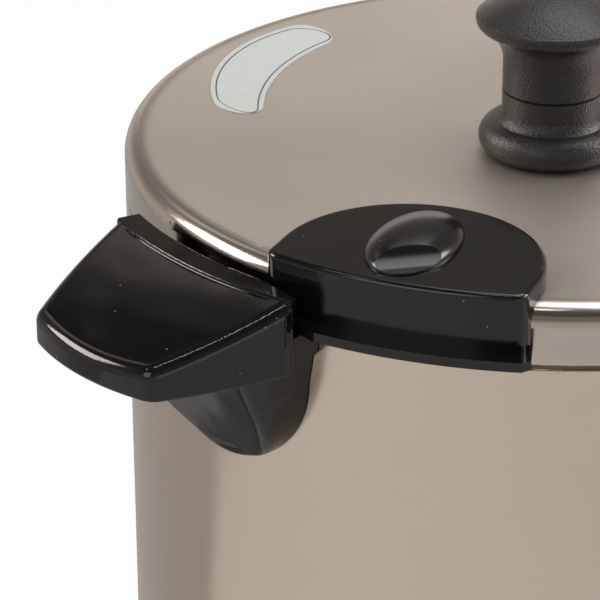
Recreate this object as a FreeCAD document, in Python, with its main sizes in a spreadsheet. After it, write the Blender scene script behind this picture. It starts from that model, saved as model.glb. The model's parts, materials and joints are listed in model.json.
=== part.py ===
import FreeCAD, Part
import math
import os
import re

import Sketcher

Vector = FreeCAD.Vector

# A catering urn for hot water: steel tank, black base, side handles with rails, locking lid, tap.
# The origin is on the table under the tank's axis. The tap and the controls face -Y.
# Lengths are in millimetres and angles in degrees.
# What fits the tank is measured from its wall, body_radius: outward for the handles, the flanges and
# the blocks' front, inward for the foot, the element, the panel, the seal ring and the rest of a block.
# The rail, slot and wing radii step outward from the flange that they hold. The sticker's outline is
# drawn for a lid whose top has the radius label_top_radius.
SIZES = {
    "body_radius": 130.0,
    "shell_thickness": 0.8,
    "floor_thickness": 1.2,
    "rim_height": 400.0,
    "lid_gap": 1.6,
    "neck_inset": 1.6,
    "neck_rise": 8.0,
    "lip_width": 5.4,
    "floor_height": 92.0,
    "housing_top": 86.0,
    "housing_bottom": 8.0,
    "housing_wall": 3.0,
    "fit_gap": 0.3,
    "running_gap": 0.05,
    "foot_outer": 6.0,
    "foot_inner": 26.0,
    "plate_thickness": 1.5,
    "stud_radius": 3.0,
    "stud_head_radius": 9.0,
    "nut_radius": 6.0,
    "nut_height": 5.0,
    "element_ring_radius": 60.0,
    "element_tube_radius": 4.2,
    "clamp_radius": 46.0,
    "clamp_thickness": 2.0,
    "terminal_radius": 3.0,
    "terminal_length": 22.0,
    "terminal_spread": 10.0,
    "cutout_radius": 9.0,
    "cutout_height": 8.0,
    "panel_plane": 9.0,
    "panel_low": 18.0,
    "panel_high": 78.0,
    "panel_half_width": 43.0,
    "panel_thickness": 2.5,
    "panel_boss_depth": 8.0,
    "panel_margin": 5.0,
    "knob_height": 48.0,
    "dial_radius": 19.0,
    "dial_depth": 15.0,
    "dial_shaft_radius": 3.0,
    "dial_shaft_length": 18.0,
    "dial_gap": 0.6,
    "thermostat_width": 32.0,
    "thermostat_height": 24.0,
    "thermostat_depth": 22.0,
    "lamp_offset": 32.0,
    "lamp_height": 60.0,
    "lamp_radius": 4.0,
    "lamp_depth": 14.0,
    "lamp_rim": 1.5,
    "lamp_crown": 1.5,
    "switch_offset": 31.0,
    "switch_height": 34.0,
    "switch_half_width": 8.0,
    "switch_half_height": 12.0,
    "switch_wall": 1.6,
    "switch_depth": 18.0,
    "rocker_pivot_radius": 1.2,
    "rocker_tilt": 8.0,
    "inlet_height": 34.0,
    "inlet_half_width": 15.0,
    "inlet_half_height": 11.0,
    "inlet_depth": 26.0,
    "inlet_wall": 2.5,
    "inlet_recess": 17.0,
    "inlet_front": 1.0,
    "pin_length": 14.0,
    "pin_width": 4.0,
    "pin_thickness": 2.0,
    "pin_spread": 7.0,
    "tap_height": 118.0,
    "tap_reach": 36.0,
    "barrel_radius": 14.0,
    "barrel_rise": 20.0,
    "chamber_radius": 10.5,
    "seat_drop": 14.0,
    "spout_drop": 36.0,
    "spout_radius": 9.0,
    "spout_bore_radius": 6.0,
    "barrel_drop": 20.0,
    "shank_radius": 9.0,
    "shank_bore_radius": 5.5,
    "tap_flange_radius": 15.0,
    "tap_flange_thickness": 3.0,
    "gasket_thickness": 2.5,
    "inner_gasket_radius": 12.0,
    "tap_nut_radius": 13.0,
    "tap_nut_thickness": 6.0,
    "bonnet_radius": 15.0,
    "bonnet_height": 10.0,
    "bonnet_plug": 6.0,
    "stem_radius": 3.0,
    "stem_collar_radius": 6.5,
    "stem_collar_thickness": 2.0,
    "cup_radius": 8.5,
    "cup_height": 6.0,
    "cup_bite": 4.0,
    "spring_outer": 7.4,
    "spring_inner": 4.4,
    "lever_foot_depth": 5.0,
    "lever_foot_half": 8.0,
    "lever_half_width": 7.0,
    "lever_slot_half": 3.4,
    "lever_length": 58.0,
    "lever_lean": 9.0,
    "lever_thickness": 7.0,
    "lever_pin_radius": 1.5,
    "rail_top": 13.9,
    "rail_thickness": 3.0,
    "rail_inner": 0.42,
    "rail_outer": 0.8,
    "rail_half_angle": 15.3,
    "rail_flare_start": 8.7,
    "rail_flare_radius": 2.4,
    "slot_floor": 2.4,
    "slot_outer": 0.7,
    "slot_stop_angle": 12.6,
    "shelf_depth": 9.0,
    "wing_inner": 2.6,
    "wing_inner_half": 0.7,
    "wing_corner": 4.2,
    "wing_corner_half": 25.6,
    "wing_outer": 52.2,
    "wing_top": 12.9,
    "wing_slope": 17.0,
    "wing_bottom": 8.2,
    "wing_wall": 3.0,
    "wing_corner_round": 6.0,
    "wing_edge_round": 4.0,
    "handle_gap": 0.3,
    "pad_top_half": 34.5,
    "pad_low_half": 31.3,
    "pad_centre_drop": 17.4,
    "leg_reach": 22.0,
    "leg_foot": 4.2,
    "leg_knee_drop": 43.0,
    "leg_round": 5.0,
    "leg_wall": 3.0,
    "leg_boss_radius": 5.0,
    "wing_side_radius": 160.0,
    "wing_lower_round": 1.2,
    "rail_round": 0.8,
    "handle_screw_radius": 2.0,
    "handle_screw_length": 7.5,
    "handle_screw_head": 4.2,
    "handle_screw_high": 14.0,
    "handle_screw_low": 30.0,
    "washer_radius": 5.0,
    "washer_thickness": 1.2,
    "lid_thickness": 0.8,
    "skirt_height": 10.7,
    "shoulder_radius": 5.7,
    "lid_seat_radius": 23.5,
    "lid_seat_rise": 8.4,
    "ring_inner": 8.1,
    "ring_outer": 4.4,
    "ring_lip_inner": 8.8,
    "ring_lip_drop": 3.0,
    "block_turn": 25.3,
    "block_top": 22.3,
    "block_front": 5.65,
    "block_half_angle": 16.2,
    "block_waist": 11.0,
    "block_waist_half": 37.5,
    "block_back": 49.0,
    "block_corner_round": 4.5,
    "block_edge_round": 1.5,
    "block_clearance": 0.2,
    "flange_low": 3.1,
    "flange_high": 5.9,
    "flange_radius": 12.1,
    "flange_start": -11.5,
    "flange_full": -7.5,
    "flange_end": 17.1,
    "flange_root": 1.0,
    "flange_tip": 2.8,
    "flange_chamfer": 2.0,
    "dome_centre": 19.5,
    "dome_half_width": 12.4,
    "dome_half_length": 20.8,
    "dome_height": 5.6,
    "dome_side": 1.4,
    "scoop_radius": 8.0,
    "scoop_turn": 35.0,
    "scoop_floor": 0.5,
    "scoop_place": 16.9,
    "dome_peg_radius": 4.0,
    "dome_peg_length": 4.0,
    "block_screw_place": 22.0,
    "block_screw_side": 20.0,
    "block_screw_radius": 1.75,
    "block_screw_length": 6.0,
    "block_screw_head": 3.5,
    "block_screw_head_height": 2.0,
    "knob_flange_radius": 22.2,
    "knob_flange_round": 5.3,
    "knob_neck_radius": 15.3,
    "knob_neck_start": 23.2,
    "knob_split": 29.0,
    "knob_groove_depth": 0.8,
    "knob_groove_half": 0.4,
    "knob_flare_start": 38.7,
    "knob_flare_radius": 22.4,
    "knob_flare_end": 48.6,
    "knob_cap_radius": 23.6,
    "knob_cap_edge": 52.4,
    "knob_top": 60.0,
    "knob_bolt_radius": 2.5,
    "knob_bolt_reach": 48.0,
    "knob_bolt_head": 5.0,
    "knob_bolt_head_height": 3.5,
    "knob_washer_radius": 9.0,
    "knob_washer_thickness": 1.2,
    "label_thickness": 0.25,
    "label_turn": 46.3,
    "label_top_radius": 124.3,
    "label_outer_centre_x": -45.396,
    "label_outer_centre_y": 34.801,
    "label_outer_radius": 62.595,
    "label_inner_centre_x": -14.3,
    "label_inner_centre_y": 25.194,
    "label_inner_radius": 75.998,
    "label_low_angle": 200.5,
    "label_high_angle": 127.0,
    "label_round": 7.0,
}

document = FreeCAD.newDocument("HotWaterUrn")
sheet = document.addObject("Spreadsheet::Sheet", "Sizes")
for row, (alias, value) in enumerate(SIZES.items(), start=1):
    sheet.set(f"A{row}", alias)
    sheet.set(f"B{row}", str(value))
    sheet.setAlias(f"B{row}", alias)
document.recompute()

PIECES = {}


def cells(formula):
    """A formula in size names, written as an expression on the sheet's cells."""
    return re.sub(r"[a-z]+(?:_[a-z]+)+", lambda word: "Sizes." + word.group(), str(formula))


def amount(formula):
    """The number that a formula in size names gives."""
    found = sheet.evalExpression(cells(formula))
    return float(getattr(found, "Value", found))


def keep(label, piece):
    """Name a finished sub-part."""
    piece.Label = label
    PIECES[label] = piece
    return piece


# Directions in which a turned piece's own +Z may point.
FACING = {
    "up": FreeCAD.Rotation(),
    "down": FreeCAD.Rotation(Vector(1, 0, 0), 180),
    "right": FreeCAD.Rotation(Vector(0, 1, 0), 90),
    "left": FreeCAD.Rotation(Vector(0, 1, 0), -90),
    "front": FreeCAD.Rotation(Vector(1, 0, 0), 90),
    "rear": FreeCAD.Rotation(Vector(1, 0, 0), -90),
}


def place(piece, at, facing="up", spin=None):
    """Put a piece at three formulas, facing a named way or spun about +Z by a formula."""
    piece.Placement = FreeCAD.Placement(Vector(), FACING[facing])
    for axis, formula in zip("xyz", at):
        piece.setExpression(f"Placement.Base.{axis}", cells(formula))
    if spin is not None:
        piece.Placement = FreeCAD.Placement(Vector(), FreeCAD.Rotation(Vector(0, 0, 1), 1))
        piece.setExpression("Placement.Rotation.Angle", cells(spin))
    document.recompute()
    return piece


def cylinder(name, radius, height, at=(0, 0, 0), facing="up", angle=None, spin=None):
    """A cylinder, or a sector of one, with its sizes bound to the sheet."""
    made = document.addObject("Part::Cylinder", name)
    made.setExpression("Radius", cells(radius))
    made.setExpression("Height", cells(height))
    if angle is not None:
        made.setExpression("Angle", cells(angle))
    return place(made, at, facing, spin)


def box(name, low, high):
    """A box between two corners given as formulas."""
    made = document.addObject("Part::Box", name)
    for side, start, end in zip(("Length", "Width", "Height"), low, high):
        made.setExpression(side, cells(f"({end}) - ({start})"))
    return place(made, low)


def cut(name, base, *tools):
    """The base without its tools."""
    made = document.addObject("Part::Cut", name)
    made.Base = base
    made.Tool = tools[0] if len(tools) == 1 else fuse(name + "_tools", *tools)
    document.recompute()
    return made


def fuse(name, *shapes):
    """Several shapes as one."""
    made = document.addObject("Part::MultiFuse", name)
    made.Shapes = list(shapes)
    made.Refine = True
    document.recompute()
    return made


def common(name, first, second):
    """What two shapes share."""
    made = document.addObject("Part::Common", name)
    made.Base = first
    made.Tool = second
    document.recompute()
    return made


def ring(name, outer, inner, low, high, start=None, end=None):
    """A round ring, or a sector of one between two polar angles."""
    height = f"({high}) - ({low})"
    if start is None:
        whole = cylinder(name + "_outer", outer, height, (0, 0, low))
    else:
        sweep = f"({end}) - ({start})"
        whole = cylinder(name + "_outer", outer, height, (0, 0, low), angle=sweep, spin=start)
    hole = cylinder(name + "_inner", inner, height, (0, 0, low))
    return cut(name, whole, hole)


def outline(sketch, corners):
    """Draw a closed outline through corners given as formulas.

    A corner is (x, y) where a straight edge ends, or (x, y, radius, side) where an arc ends.
    The side is 1 when the arc's centre is on the left of its run and -1 when it is on the right.
    """
    points = [Vector(amount(corner[0]), amount(corner[1]), 0) for corner in corners]
    ends = []
    for number, corner in enumerate(corners):
        start = points[number - 1]
        end = points[number]
        if len(corner) == 2:
            index = sketch.addGeometry(Part.LineSegment(start, end), False)
            ends.append((index, 1, 2))
            continue
        radius = amount(corner[2])
        chord = end - start
        left = Vector(-chord.y, chord.x, 0).normalize()
        rise = math.sqrt(max(radius * radius - chord.Length ** 2 / 4, 0))
        centre = (start + end) * 0.5 + left * rise * corner[3]
        first, last = (start, end) if corner[3] > 0 else (end, start)
        circle = Part.Circle(centre, Vector(0, 0, 1), radius)
        turns = [math.atan2(spot.y - centre.y, spot.x - centre.x) for spot in (first, last)]
        index = sketch.addGeometry(Part.ArcOfCircle(circle, turns[0], turns[1]), False)
        ends.append((index, 1, 2) if corner[3] > 0 else (index, 2, 1))
        held = sketch.addConstraint(Sketcher.Constraint("Radius", index, radius))
        sketch.setExpression(f"Constraints[{held}]", cells(corner[2]))
    for number, corner in enumerate(corners):
        index, first, last = ends[number]
        following = ends[(number + 1) % len(ends)]
        sketch.addConstraint(Sketcher.Constraint("Coincident", index, last, following[0], following[1]))
        for kind, formula in (("DistanceX", corner[0]), ("DistanceY", corner[1])):
            rule = Sketcher.Constraint(kind, -1, 1, index, last, amount(formula))
            held = sketch.addConstraint(rule)
            sketch.setExpression(f"Constraints[{held}]", cells(formula))
    return sketch


def new_body(name):
    """An empty body."""
    return document.addObject("PartDesign::Body", name)


def new_sketch(part, name, role, corners, lift=None):
    """A sketch on one of a body's own planes, moved along the plane's normal by a formula."""
    sketch = part.newObject("Sketcher::SketchObject", name)
    flat = [feature for feature in part.Origin.OriginFeatures if feature.Role == role]
    sketch.AttachmentSupport = [(flat[0], "")]
    sketch.MapMode = "FlatFace"
    if lift is not None:
        sketch.setExpression("AttachmentOffset.Base.z", cells(lift))
    return outline(sketch, corners)


def edges_at(shape, spots):
    """Names of the round edges about Z at the given radii and heights."""
    names = []
    for number, edge in enumerate(shape.Edges, start=1):
        if edge.Curve.TypeId != "Part::GeomCircle":
            continue
        for radius, height in spots:
            near_radius = abs(edge.Curve.Radius - amount(radius)) < 0.001
            if near_radius and abs(edge.Curve.Center.z - amount(height)) < 0.001:
                names.append(f"Edge{number}")
    return names


def turned(name, corners, rounds=()):
    """A body turned about Z from an outline in radius and height, with round edges."""
    part = new_body(name)
    sketch = new_sketch(part, name + "_outline", "XZ_Plane", corners)
    made = part.newObject("PartDesign::Revolution", name + "_turn")
    made.Profile = sketch
    made.ReferenceAxis = (sketch, ["V_Axis"])
    made.Angle = 360
    document.recompute()
    for number, (radius, spots) in enumerate(rounds):
        names = edges_at(part.Tip.Shape, spots)
        base = part.Tip
        rounded = part.newObject("PartDesign::Fillet", f"{name}_round_{number}")
        rounded.Base = (base, names)
        rounded.setExpression("Radius", cells(radius))
        document.recompute()
    return part


def padded(name, role, corners, length, lift=None, both=False):
    """A body padded from an outline on one of its planes."""
    part = new_body(name)
    sketch = new_sketch(part, name + "_outline", role, corners, lift)
    made = part.newObject("PartDesign::Pad", name + "_pad")
    made.Profile = sketch
    made.setExpression("Length", cells(length))
    made.Midplane = both
    document.recompute()
    return part


def polar(radius, angle):
    """Formulas for the point at a radius and a polar angle."""
    return f"({radius}) * cos({angle})", f"({radius}) * sin({angle})"


def drill(name, radius, length, at, facing):
    """A round cutting tool."""
    return cylinder(name, radius, length, at, facing)


FLOOR_TOP = "floor_height + floor_thickness"
INNER_RADIUS = "body_radius - shell_thickness"
NECK_RADIUS = "body_radius - neck_inset"
LIP_INNER = "body_radius - neck_inset - lip_width"
LIP_TOP = "rim_height + neck_rise"
CREST_RADIUS = "body_radius - shoulder_radius"
CREST_RISE = "skirt_height + shoulder_radius"
SEAT_TOP = "rim_height + lid_seat_rise"
TAP_Y = "-body_radius - tap_reach"
PIN_HEIGHT = "tap_height + barrel_rise + bonnet_height + lever_foot_depth + fit_gap"
PANEL_FRONT = "panel_plane - body_radius"
PANEL_BACK = f"{PANEL_FRONT} + panel_thickness + panel_boss_depth"
INLET_FRONT = "(body_radius + inlet_front)"
FOOT_OUTER = "(body_radius - foot_outer)"
FOOT_INNER = "(body_radius - foot_inner)"
ELEMENT_RING = "(body_radius - element_ring_radius)"
BLOCK_FRONT = "(body_radius + block_front)"
BLOCK_WAIST = "(body_radius - block_waist)"
BLOCK_BACK = "(body_radius - block_back)"
BLOCK_SCREW = "(body_radius - block_screw_place)"
FLANGE_EDGE = "(body_radius + flange_radius)"
SLOT_EDGE = "(body_radius + flange_radius + slot_outer)"
RAIL_EDGE = "(body_radius + flange_radius + slot_outer + rail_outer)"
RAIL_NEAR = "(body_radius + block_front + rail_inner)"
WING_ROOT = "(body_radius + flange_radius + slot_outer + rail_outer - wing_inner)"
WING_HALF = f"({WING_ROOT} * sin(rail_half_angle) + wing_inner_half)"
WING_CORNER = "(body_radius + wing_outer - wing_corner)"


def dish_tilt():
    """Slope of the dished lid top where it meets the shoulder."""
    rise = f"({CREST_RISE} - lid_seat_rise)"
    run = f"({CREST_RADIUS} - lid_seat_radius)"
    return f"2 * atan({rise} / ({run}))"


def lid_curve(offset):
    """Corners of the lid's outer surface from its centre to its skirt, moved outward by an offset."""
    tilt = dish_tilt()
    bend = f"(shoulder_radius + {offset})"
    crest_x = f"{CREST_RADIUS} - {bend} * sin({tilt})"
    crest_y = f"rim_height + skirt_height + {bend} * cos({tilt})"
    seat_y = f"{SEAT_TOP} + {offset}"
    chord = f"sqrt(({crest_x} - lid_seat_radius)^2 + ({crest_y} - ({seat_y}))^2)"
    dish = f"{chord} / (2 * sin({tilt} / 2))"
    return [
        ("lid_seat_radius", seat_y),
        (crest_x, crest_y, dish, 1),
        (f"body_radius + {offset}", "rim_height + skirt_height", bend, -1),
    ]


def make_tank():
    """The steel tank: wall, floor, necked mouth with its inward lip, and its holes."""
    step = "rim_height - lid_gap"
    corners = [
        (0, "floor_height"),
        (INNER_RADIUS, "floor_height"),
        (INNER_RADIUS, "housing_top"),
        ("body_radius", "housing_top"),
        ("body_radius", step),
        (NECK_RADIUS, step),
        (NECK_RADIUS, LIP_TOP),
        (LIP_INNER, LIP_TOP),
        (LIP_INNER, f"{LIP_TOP} - shell_thickness"),
        (f"{NECK_RADIUS} - shell_thickness", f"{LIP_TOP} - shell_thickness"),
        (f"{NECK_RADIUS} - shell_thickness", f"{step} - shell_thickness"),
        (INNER_RADIUS, f"{step} - shell_thickness"),
        (INNER_RADIUS, FLOOR_TOP),
        (0, FLOOR_TOP),
    ]
    wall = turned("tank_wall", corners, [("shell_thickness * 0.9", [("body_radius", step)])])
    holes = [drill("tap_hole", "shank_radius + fit_gap", "body_radius", (0, 0, "tap_height"), "front")]
    for side in ("left", "right"):
        for level in ("high", "low"):
            at = (0, 0, f"rim_height - handle_screw_{level}")
            radius = "handle_screw_radius + fit_gap"
            holes.append(drill(f"{side}_{level}_hole", radius, "body_radius + fit_gap", at, side))
    keep("tank_shell", cut("tank_drilled", wall, *holes))


def make_base():
    """The base housing with its panel boss and cut-outs, bottom plate, foot ring and centre stud."""
    inner = "body_radius - housing_wall"
    lip = f"{INNER_RADIUS} - fit_gap"
    corners = [
        (inner, "housing_bottom"),
        ("body_radius", "housing_bottom"),
        ("body_radius", "housing_top"),
        (lip, "housing_top"),
        (lip, "floor_height - fit_gap"),
        (f"{inner} - fit_gap", "floor_height - fit_gap"),
        (f"{inner} - fit_gap", "housing_top"),
        (inner, "housing_top - housing_wall"),
    ]
    wall = turned("housing_wall_ring", corners, [("housing_wall * 0.6", [("body_radius", "housing_bottom")])])
    block = box(
        "panel_boss_block",
        ("-panel_half_width - panel_margin", "-body_radius", "panel_low - panel_margin"),
        ("panel_half_width + panel_margin", PANEL_BACK, "panel_high + panel_margin"),
    )
    round_limit = cylinder("panel_boss_limit", "body_radius", "housing_top", (0, 0, 0))
    boss = common("panel_boss", block, round_limit)
    web = ring("foot_web", inner + " + 0.5", FOOT_INNER, "housing_bottom", "housing_bottom + housing_wall")
    whole = fuse("housing_whole", wall, boss, web)
    window = box(
        "panel_window",
        ("-panel_half_width - fit_gap", "-body_radius - 1", "panel_low - fit_gap"),
        ("panel_half_width + fit_gap", f"{PANEL_FRONT} + panel_thickness", "panel_high + fit_gap"),
    )
    flat = box(
        "panel_flat",
        ("-body_radius", "-body_radius - 1", "panel_low - panel_margin / 2"),
        ("body_radius", PANEL_FRONT, "panel_high + panel_margin / 2"),
    )
    inlet = box(
        "inlet_hole",
        ("-inlet_half_width - fit_gap", "body_radius - 3 * housing_wall",
         "inlet_height - inlet_half_height - fit_gap"),
        ("inlet_half_width + fit_gap", f"{INLET_FRONT} + 1", "inlet_height + inlet_half_height + fit_gap"),
    )
    tools = [window, flat, inlet]
    tools += control_holes("housing", "-body_radius", PANEL_BACK + " + 1")
    keep("base_housing", cut("housing_cut", whole, *tools))
    plate = turned("base_plate_turn", [
        ("stud_radius + fit_gap", "housing_bottom + housing_wall"),
        (f"{inner} - fit_gap", "housing_bottom + housing_wall"),
        (f"{inner} - fit_gap", "housing_bottom + housing_wall + plate_thickness"),
        ("stud_radius + fit_gap", "housing_bottom + housing_wall + plate_thickness"),
    ])
    keep("base_plate", plate)
    foot = turned("foot_ring_turn", [
        (FOOT_INNER + " + 3", 0),
        (FOOT_OUTER, 0),
        (FOOT_OUTER, "housing_bottom"),
        (FOOT_INNER + " + 3", "housing_bottom"),
    ], [("2", [(FOOT_OUTER, 0), (FOOT_INNER + " + 3", 0)])])
    keep("foot_ring", foot)
    stud_top = "floor_height - 2 * element_tube_radius - clamp_thickness - running_gap"
    stud_low = "housing_bottom + housing_wall - nut_height"
    stud = turned("centre_stud_turn", [
        (0, stud_low),
        ("stud_radius", stud_low),
        ("stud_radius", f"{stud_top} - 3"),
        ("stud_head_radius", f"{stud_top} - 3"),
        ("stud_head_radius", stud_top),
        (0, stud_top),
    ])
    keep("centre_stud", stud)
    nut = turned("stud_nut_turn", [
        ("stud_radius + running_gap", stud_low),
        ("nut_radius", stud_low),
        ("nut_radius", "housing_bottom + housing_wall"),
        ("stud_radius + running_gap", "housing_bottom + housing_wall"),
    ])
    keep("stud_nut", nut)


def control_holes(name, front, back):
    """Cutting tools for the dial shaft, lamps and switch between two depths."""
    length = f"({back}) - ({front})"
    tools = [drill(name + "_dial_hole", "dial_shaft_radius + 1.5", length, (0, back, "knob_height"), "front")]
    for side, sign in (("left", "-"), ("right", "")):
        at = (f"{sign}lamp_offset", back, "lamp_height")
        tools.append(drill(f"{name}_{side}_lamp_hole", "lamp_radius + running_gap", length, at, "front"))
    tools.append(box(
        name + "_switch_hole",
        ("switch_offset - switch_half_width - switch_wall - running_gap", front,
         "switch_height - switch_half_height - switch_wall - running_gap"),
        ("switch_offset + switch_half_width + switch_wall + running_gap", back,
         "switch_height + switch_half_height + switch_wall + running_gap"),
    ))
    return tools


def make_heating():
    """The heating element under the floor, its clamp plate, terminals, cut-out and thermostat."""
    tube = document.addObject("Part::Torus", "element_ring")
    tube.setExpression("Radius1", cells(ELEMENT_RING))
    tube.setExpression("Radius2", cells("element_tube_radius"))
    place(tube, (0, 0, "floor_height - element_tube_radius - running_gap"))
    keep("heating_element", tube)
    clamp_top = "floor_height - 2 * element_tube_radius - running_gap"
    clamp = turned("element_clamp_turn", [
        (0, f"{clamp_top} - clamp_thickness"),
        ("body_radius - clamp_radius", f"{clamp_top} - clamp_thickness"),
        ("body_radius - clamp_radius", clamp_top),
        (0, clamp_top),
    ])
    low = f"{clamp_top} - clamp_thickness - terminal_length"
    holes = []
    for side, sign in (("left", "-"), ("right", "")):
        reach = f"{ELEMENT_RING} + element_tube_radius + terminal_radius + running_gap"
        at = (f"{sign}terminal_spread", f"sqrt(({reach})^2 - terminal_spread^2)", low)
        height = f"floor_height - running_gap - ({low})"
        terminal = cylinder(f"terminal_{side}_rod", "terminal_radius", height, at)
        keep(f"element_terminal_{side}", terminal)
        holes.append(cylinder(f"terminal_{side}_hole", "terminal_radius + running_gap", "floor_height", at))
    keep("element_clamp", cut("element_clamp_cut", clamp, *holes))
    cut_out = cylinder("cutout_can", "cutout_radius", "cutout_height",
                       (0, f"-{ELEMENT_RING} / 2", f"{clamp_top} + running_gap"))
    keep("thermal_cutout", cut_out)
    case = box(
        "thermostat_case",
        ("-thermostat_width / 2", PANEL_BACK, "knob_height - thermostat_height / 2"),
        ("thermostat_width / 2", f"{PANEL_BACK} + thermostat_depth", "knob_height + thermostat_height / 2"),
    )
    bush_end = f"{PANEL_FRONT} + 0.5"
    bush = cylinder("thermostat_bush", "dial_shaft_radius + 1.4", f"{PANEL_BACK} + 1 - ({bush_end})",
                    (0, f"{PANEL_BACK} + 1", "knob_height"), "front")
    whole = fuse("thermostat_whole", case, bush)
    bore = drill("thermostat_bore", "dial_shaft_radius + running_gap", "dial_shaft_length + 2",
                 (0, f"{PANEL_FRONT} - dial_gap + dial_shaft_length + 0.5", "knob_height"), "front")
    keep("thermostat", cut("thermostat_cut", whole, bore))


def make_controls():
    """The control panel, dial, lamps, switch frame and rocker."""
    plate = box(
        "panel_plate",
        ("-panel_half_width", PANEL_FRONT, "panel_low"),
        ("panel_half_width", f"{PANEL_FRONT} + panel_thickness", "panel_high"),
    )
    holes = control_holes("panel", f"{PANEL_FRONT} - 1", f"{PANEL_FRONT} + panel_thickness + 1")
    keep("control_panel", cut("panel_cut", plate, *holes))
    dial = turned("dial_turn", [
        (0, "-dial_shaft_length"),
        ("dial_shaft_radius", "-dial_shaft_length"),
        ("dial_shaft_radius", 0),
        ("dial_radius", 0),
        ("dial_radius - 1.5", "dial_depth"),
        (0, "dial_depth"),
    ], [("1.5", [("dial_radius - 1.5", "dial_depth")])])
    place(dial, (0, f"{PANEL_FRONT} - dial_gap", "knob_height"), "front")
    groove = box(
        "dial_groove",
        (-1, f"{PANEL_FRONT} - dial_gap - dial_depth - 1", "knob_height + dial_radius * 0.3"),
        (1, f"{PANEL_FRONT} - dial_gap - dial_depth + 1", "knob_height + dial_radius + 1"),
    )
    keep("control_knob", cut("dial_cut", dial, groove))
    rim = "lamp_radius + lamp_rim"
    for side, sign in (("left", "-"), ("right", "")):
        lens = turned(f"lamp_{side}_turn", [
            (0, "-lamp_depth"),
            ("lamp_radius", "-lamp_depth"),
            ("lamp_radius", 0),
            (rim, 0),
            (rim, "lamp_rim"),
            (0, "lamp_rim + lamp_crown", f"(({rim})^2 + lamp_crown^2) / (2 * lamp_crown)", 1),
        ])
        keep(f"lamp_{side}", place(lens, (f"{sign}lamp_offset", PANEL_FRONT, "lamp_height"), "front"))
    outer = box(
        "switch_outer",
        ("switch_offset - switch_half_width - switch_wall", f"{PANEL_FRONT} - 1.5",
         "switch_height - switch_half_height - switch_wall"),
        ("switch_offset + switch_half_width + switch_wall", f"{PANEL_FRONT} + switch_depth",
         "switch_height + switch_half_height + switch_wall"),
    )
    rim = box(
        "switch_rim",
        ("switch_offset - switch_half_width - 2 * switch_wall", f"{PANEL_FRONT} - 1.5",
         "switch_height - switch_half_height - 2 * switch_wall"),
        ("switch_offset + switch_half_width + 2 * switch_wall", PANEL_FRONT,
         "switch_height + switch_half_height + 2 * switch_wall"),
    )
    hollow = box(
        "switch_hollow",
        ("switch_offset - switch_half_width", f"{PANEL_FRONT} - 2", "switch_height - switch_half_height"),
        ("switch_offset + switch_half_width", f"{PANEL_FRONT} + switch_depth - switch_wall",
         "switch_height + switch_half_height"),
    )
    frame = cut("switch_cut", fuse("switch_whole", outer, rim), hollow)
    pivot = ("switch_offset - switch_half_width - 1", f"{PANEL_FRONT} + 2", "switch_height")
    axle_hole = drill("switch_axle_hole", "rocker_pivot_radius + running_gap",
                      "2 * switch_half_width + 2", pivot, "right")
    keep("switch_frame", cut("switch_drilled", frame, axle_hole))
    half = "switch_half_height - 2 * fit_gap - 1.4"
    cap = padded("rocker_cap", "YZ_Plane", [
        (-5, f"-({half})"),
        (-4, 0),
        (-5, half),
        (3, half),
        (3, f"-({half})"),
    ], "2 * switch_half_width - 2 * fit_gap", both=True)
    axle = cylinder("rocker_axle", "rocker_pivot_radius", "2 * switch_half_width + 1.2",
                    ("-switch_half_width - 0.6", 0, 0), "right")
    rocker = fuse("rocker_whole", cap, axle)
    turn = FreeCAD.Rotation(Vector(1, 0, 0), -amount("rocker_tilt"))
    rocker.Placement = FreeCAD.Placement(Vector(), turn)
    for axis, formula in zip("xyz", ("switch_offset", f"{PANEL_FRONT} + 2", "switch_height")):
        rocker.setExpression(f"Placement.Base.{axis}", cells(formula))
    document.recompute()
    keep("power_rocker", rocker)


def make_inlet():
    """The recessed mains inlet at the rear and its three flat pins."""
    outer = box(
        "inlet_outer",
        ("-inlet_half_width", f"{INLET_FRONT} - inlet_depth", "inlet_height - inlet_half_height"),
        ("inlet_half_width", INLET_FRONT, "inlet_height + inlet_half_height"),
    )
    recess = box(
        "inlet_recess_box",
        ("-inlet_half_width + inlet_wall", f"{INLET_FRONT} - inlet_recess",
         "inlet_height - inlet_half_height + inlet_wall"),
        ("inlet_half_width - inlet_wall", f"{INLET_FRONT} + 1",
         "inlet_height + inlet_half_height - inlet_wall"),
    )
    slots = []
    places = {"earth": (0, "inlet_height + 2"), "live": ("-pin_spread", "inlet_height - 2"),
              "neutral": ("pin_spread", "inlet_height - 2")}
    for name, (across, level) in places.items():
        low = [f"{across} - pin_thickness / 2", f"{INLET_FRONT} - inlet_recess - 6",
               f"{level} - pin_width / 2"]
        high = [f"{across} + pin_thickness / 2", f"{INLET_FRONT} - inlet_recess + pin_length",
                f"{level} + pin_width / 2"]
        keep(f"inlet_pin_{name}", box(f"pin_{name}", low, high))
        grown_low = [f"{low[0]} - running_gap", low[1], f"{low[2]} - running_gap"]
        grown_high = [f"{high[0]} + running_gap", high[1], f"{high[2]} + running_gap"]
        slots.append(box(f"pin_{name}_slot", grown_low, grown_high))
    keep("inlet_socket", cut("inlet_cut", outer, recess, *slots))


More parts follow.
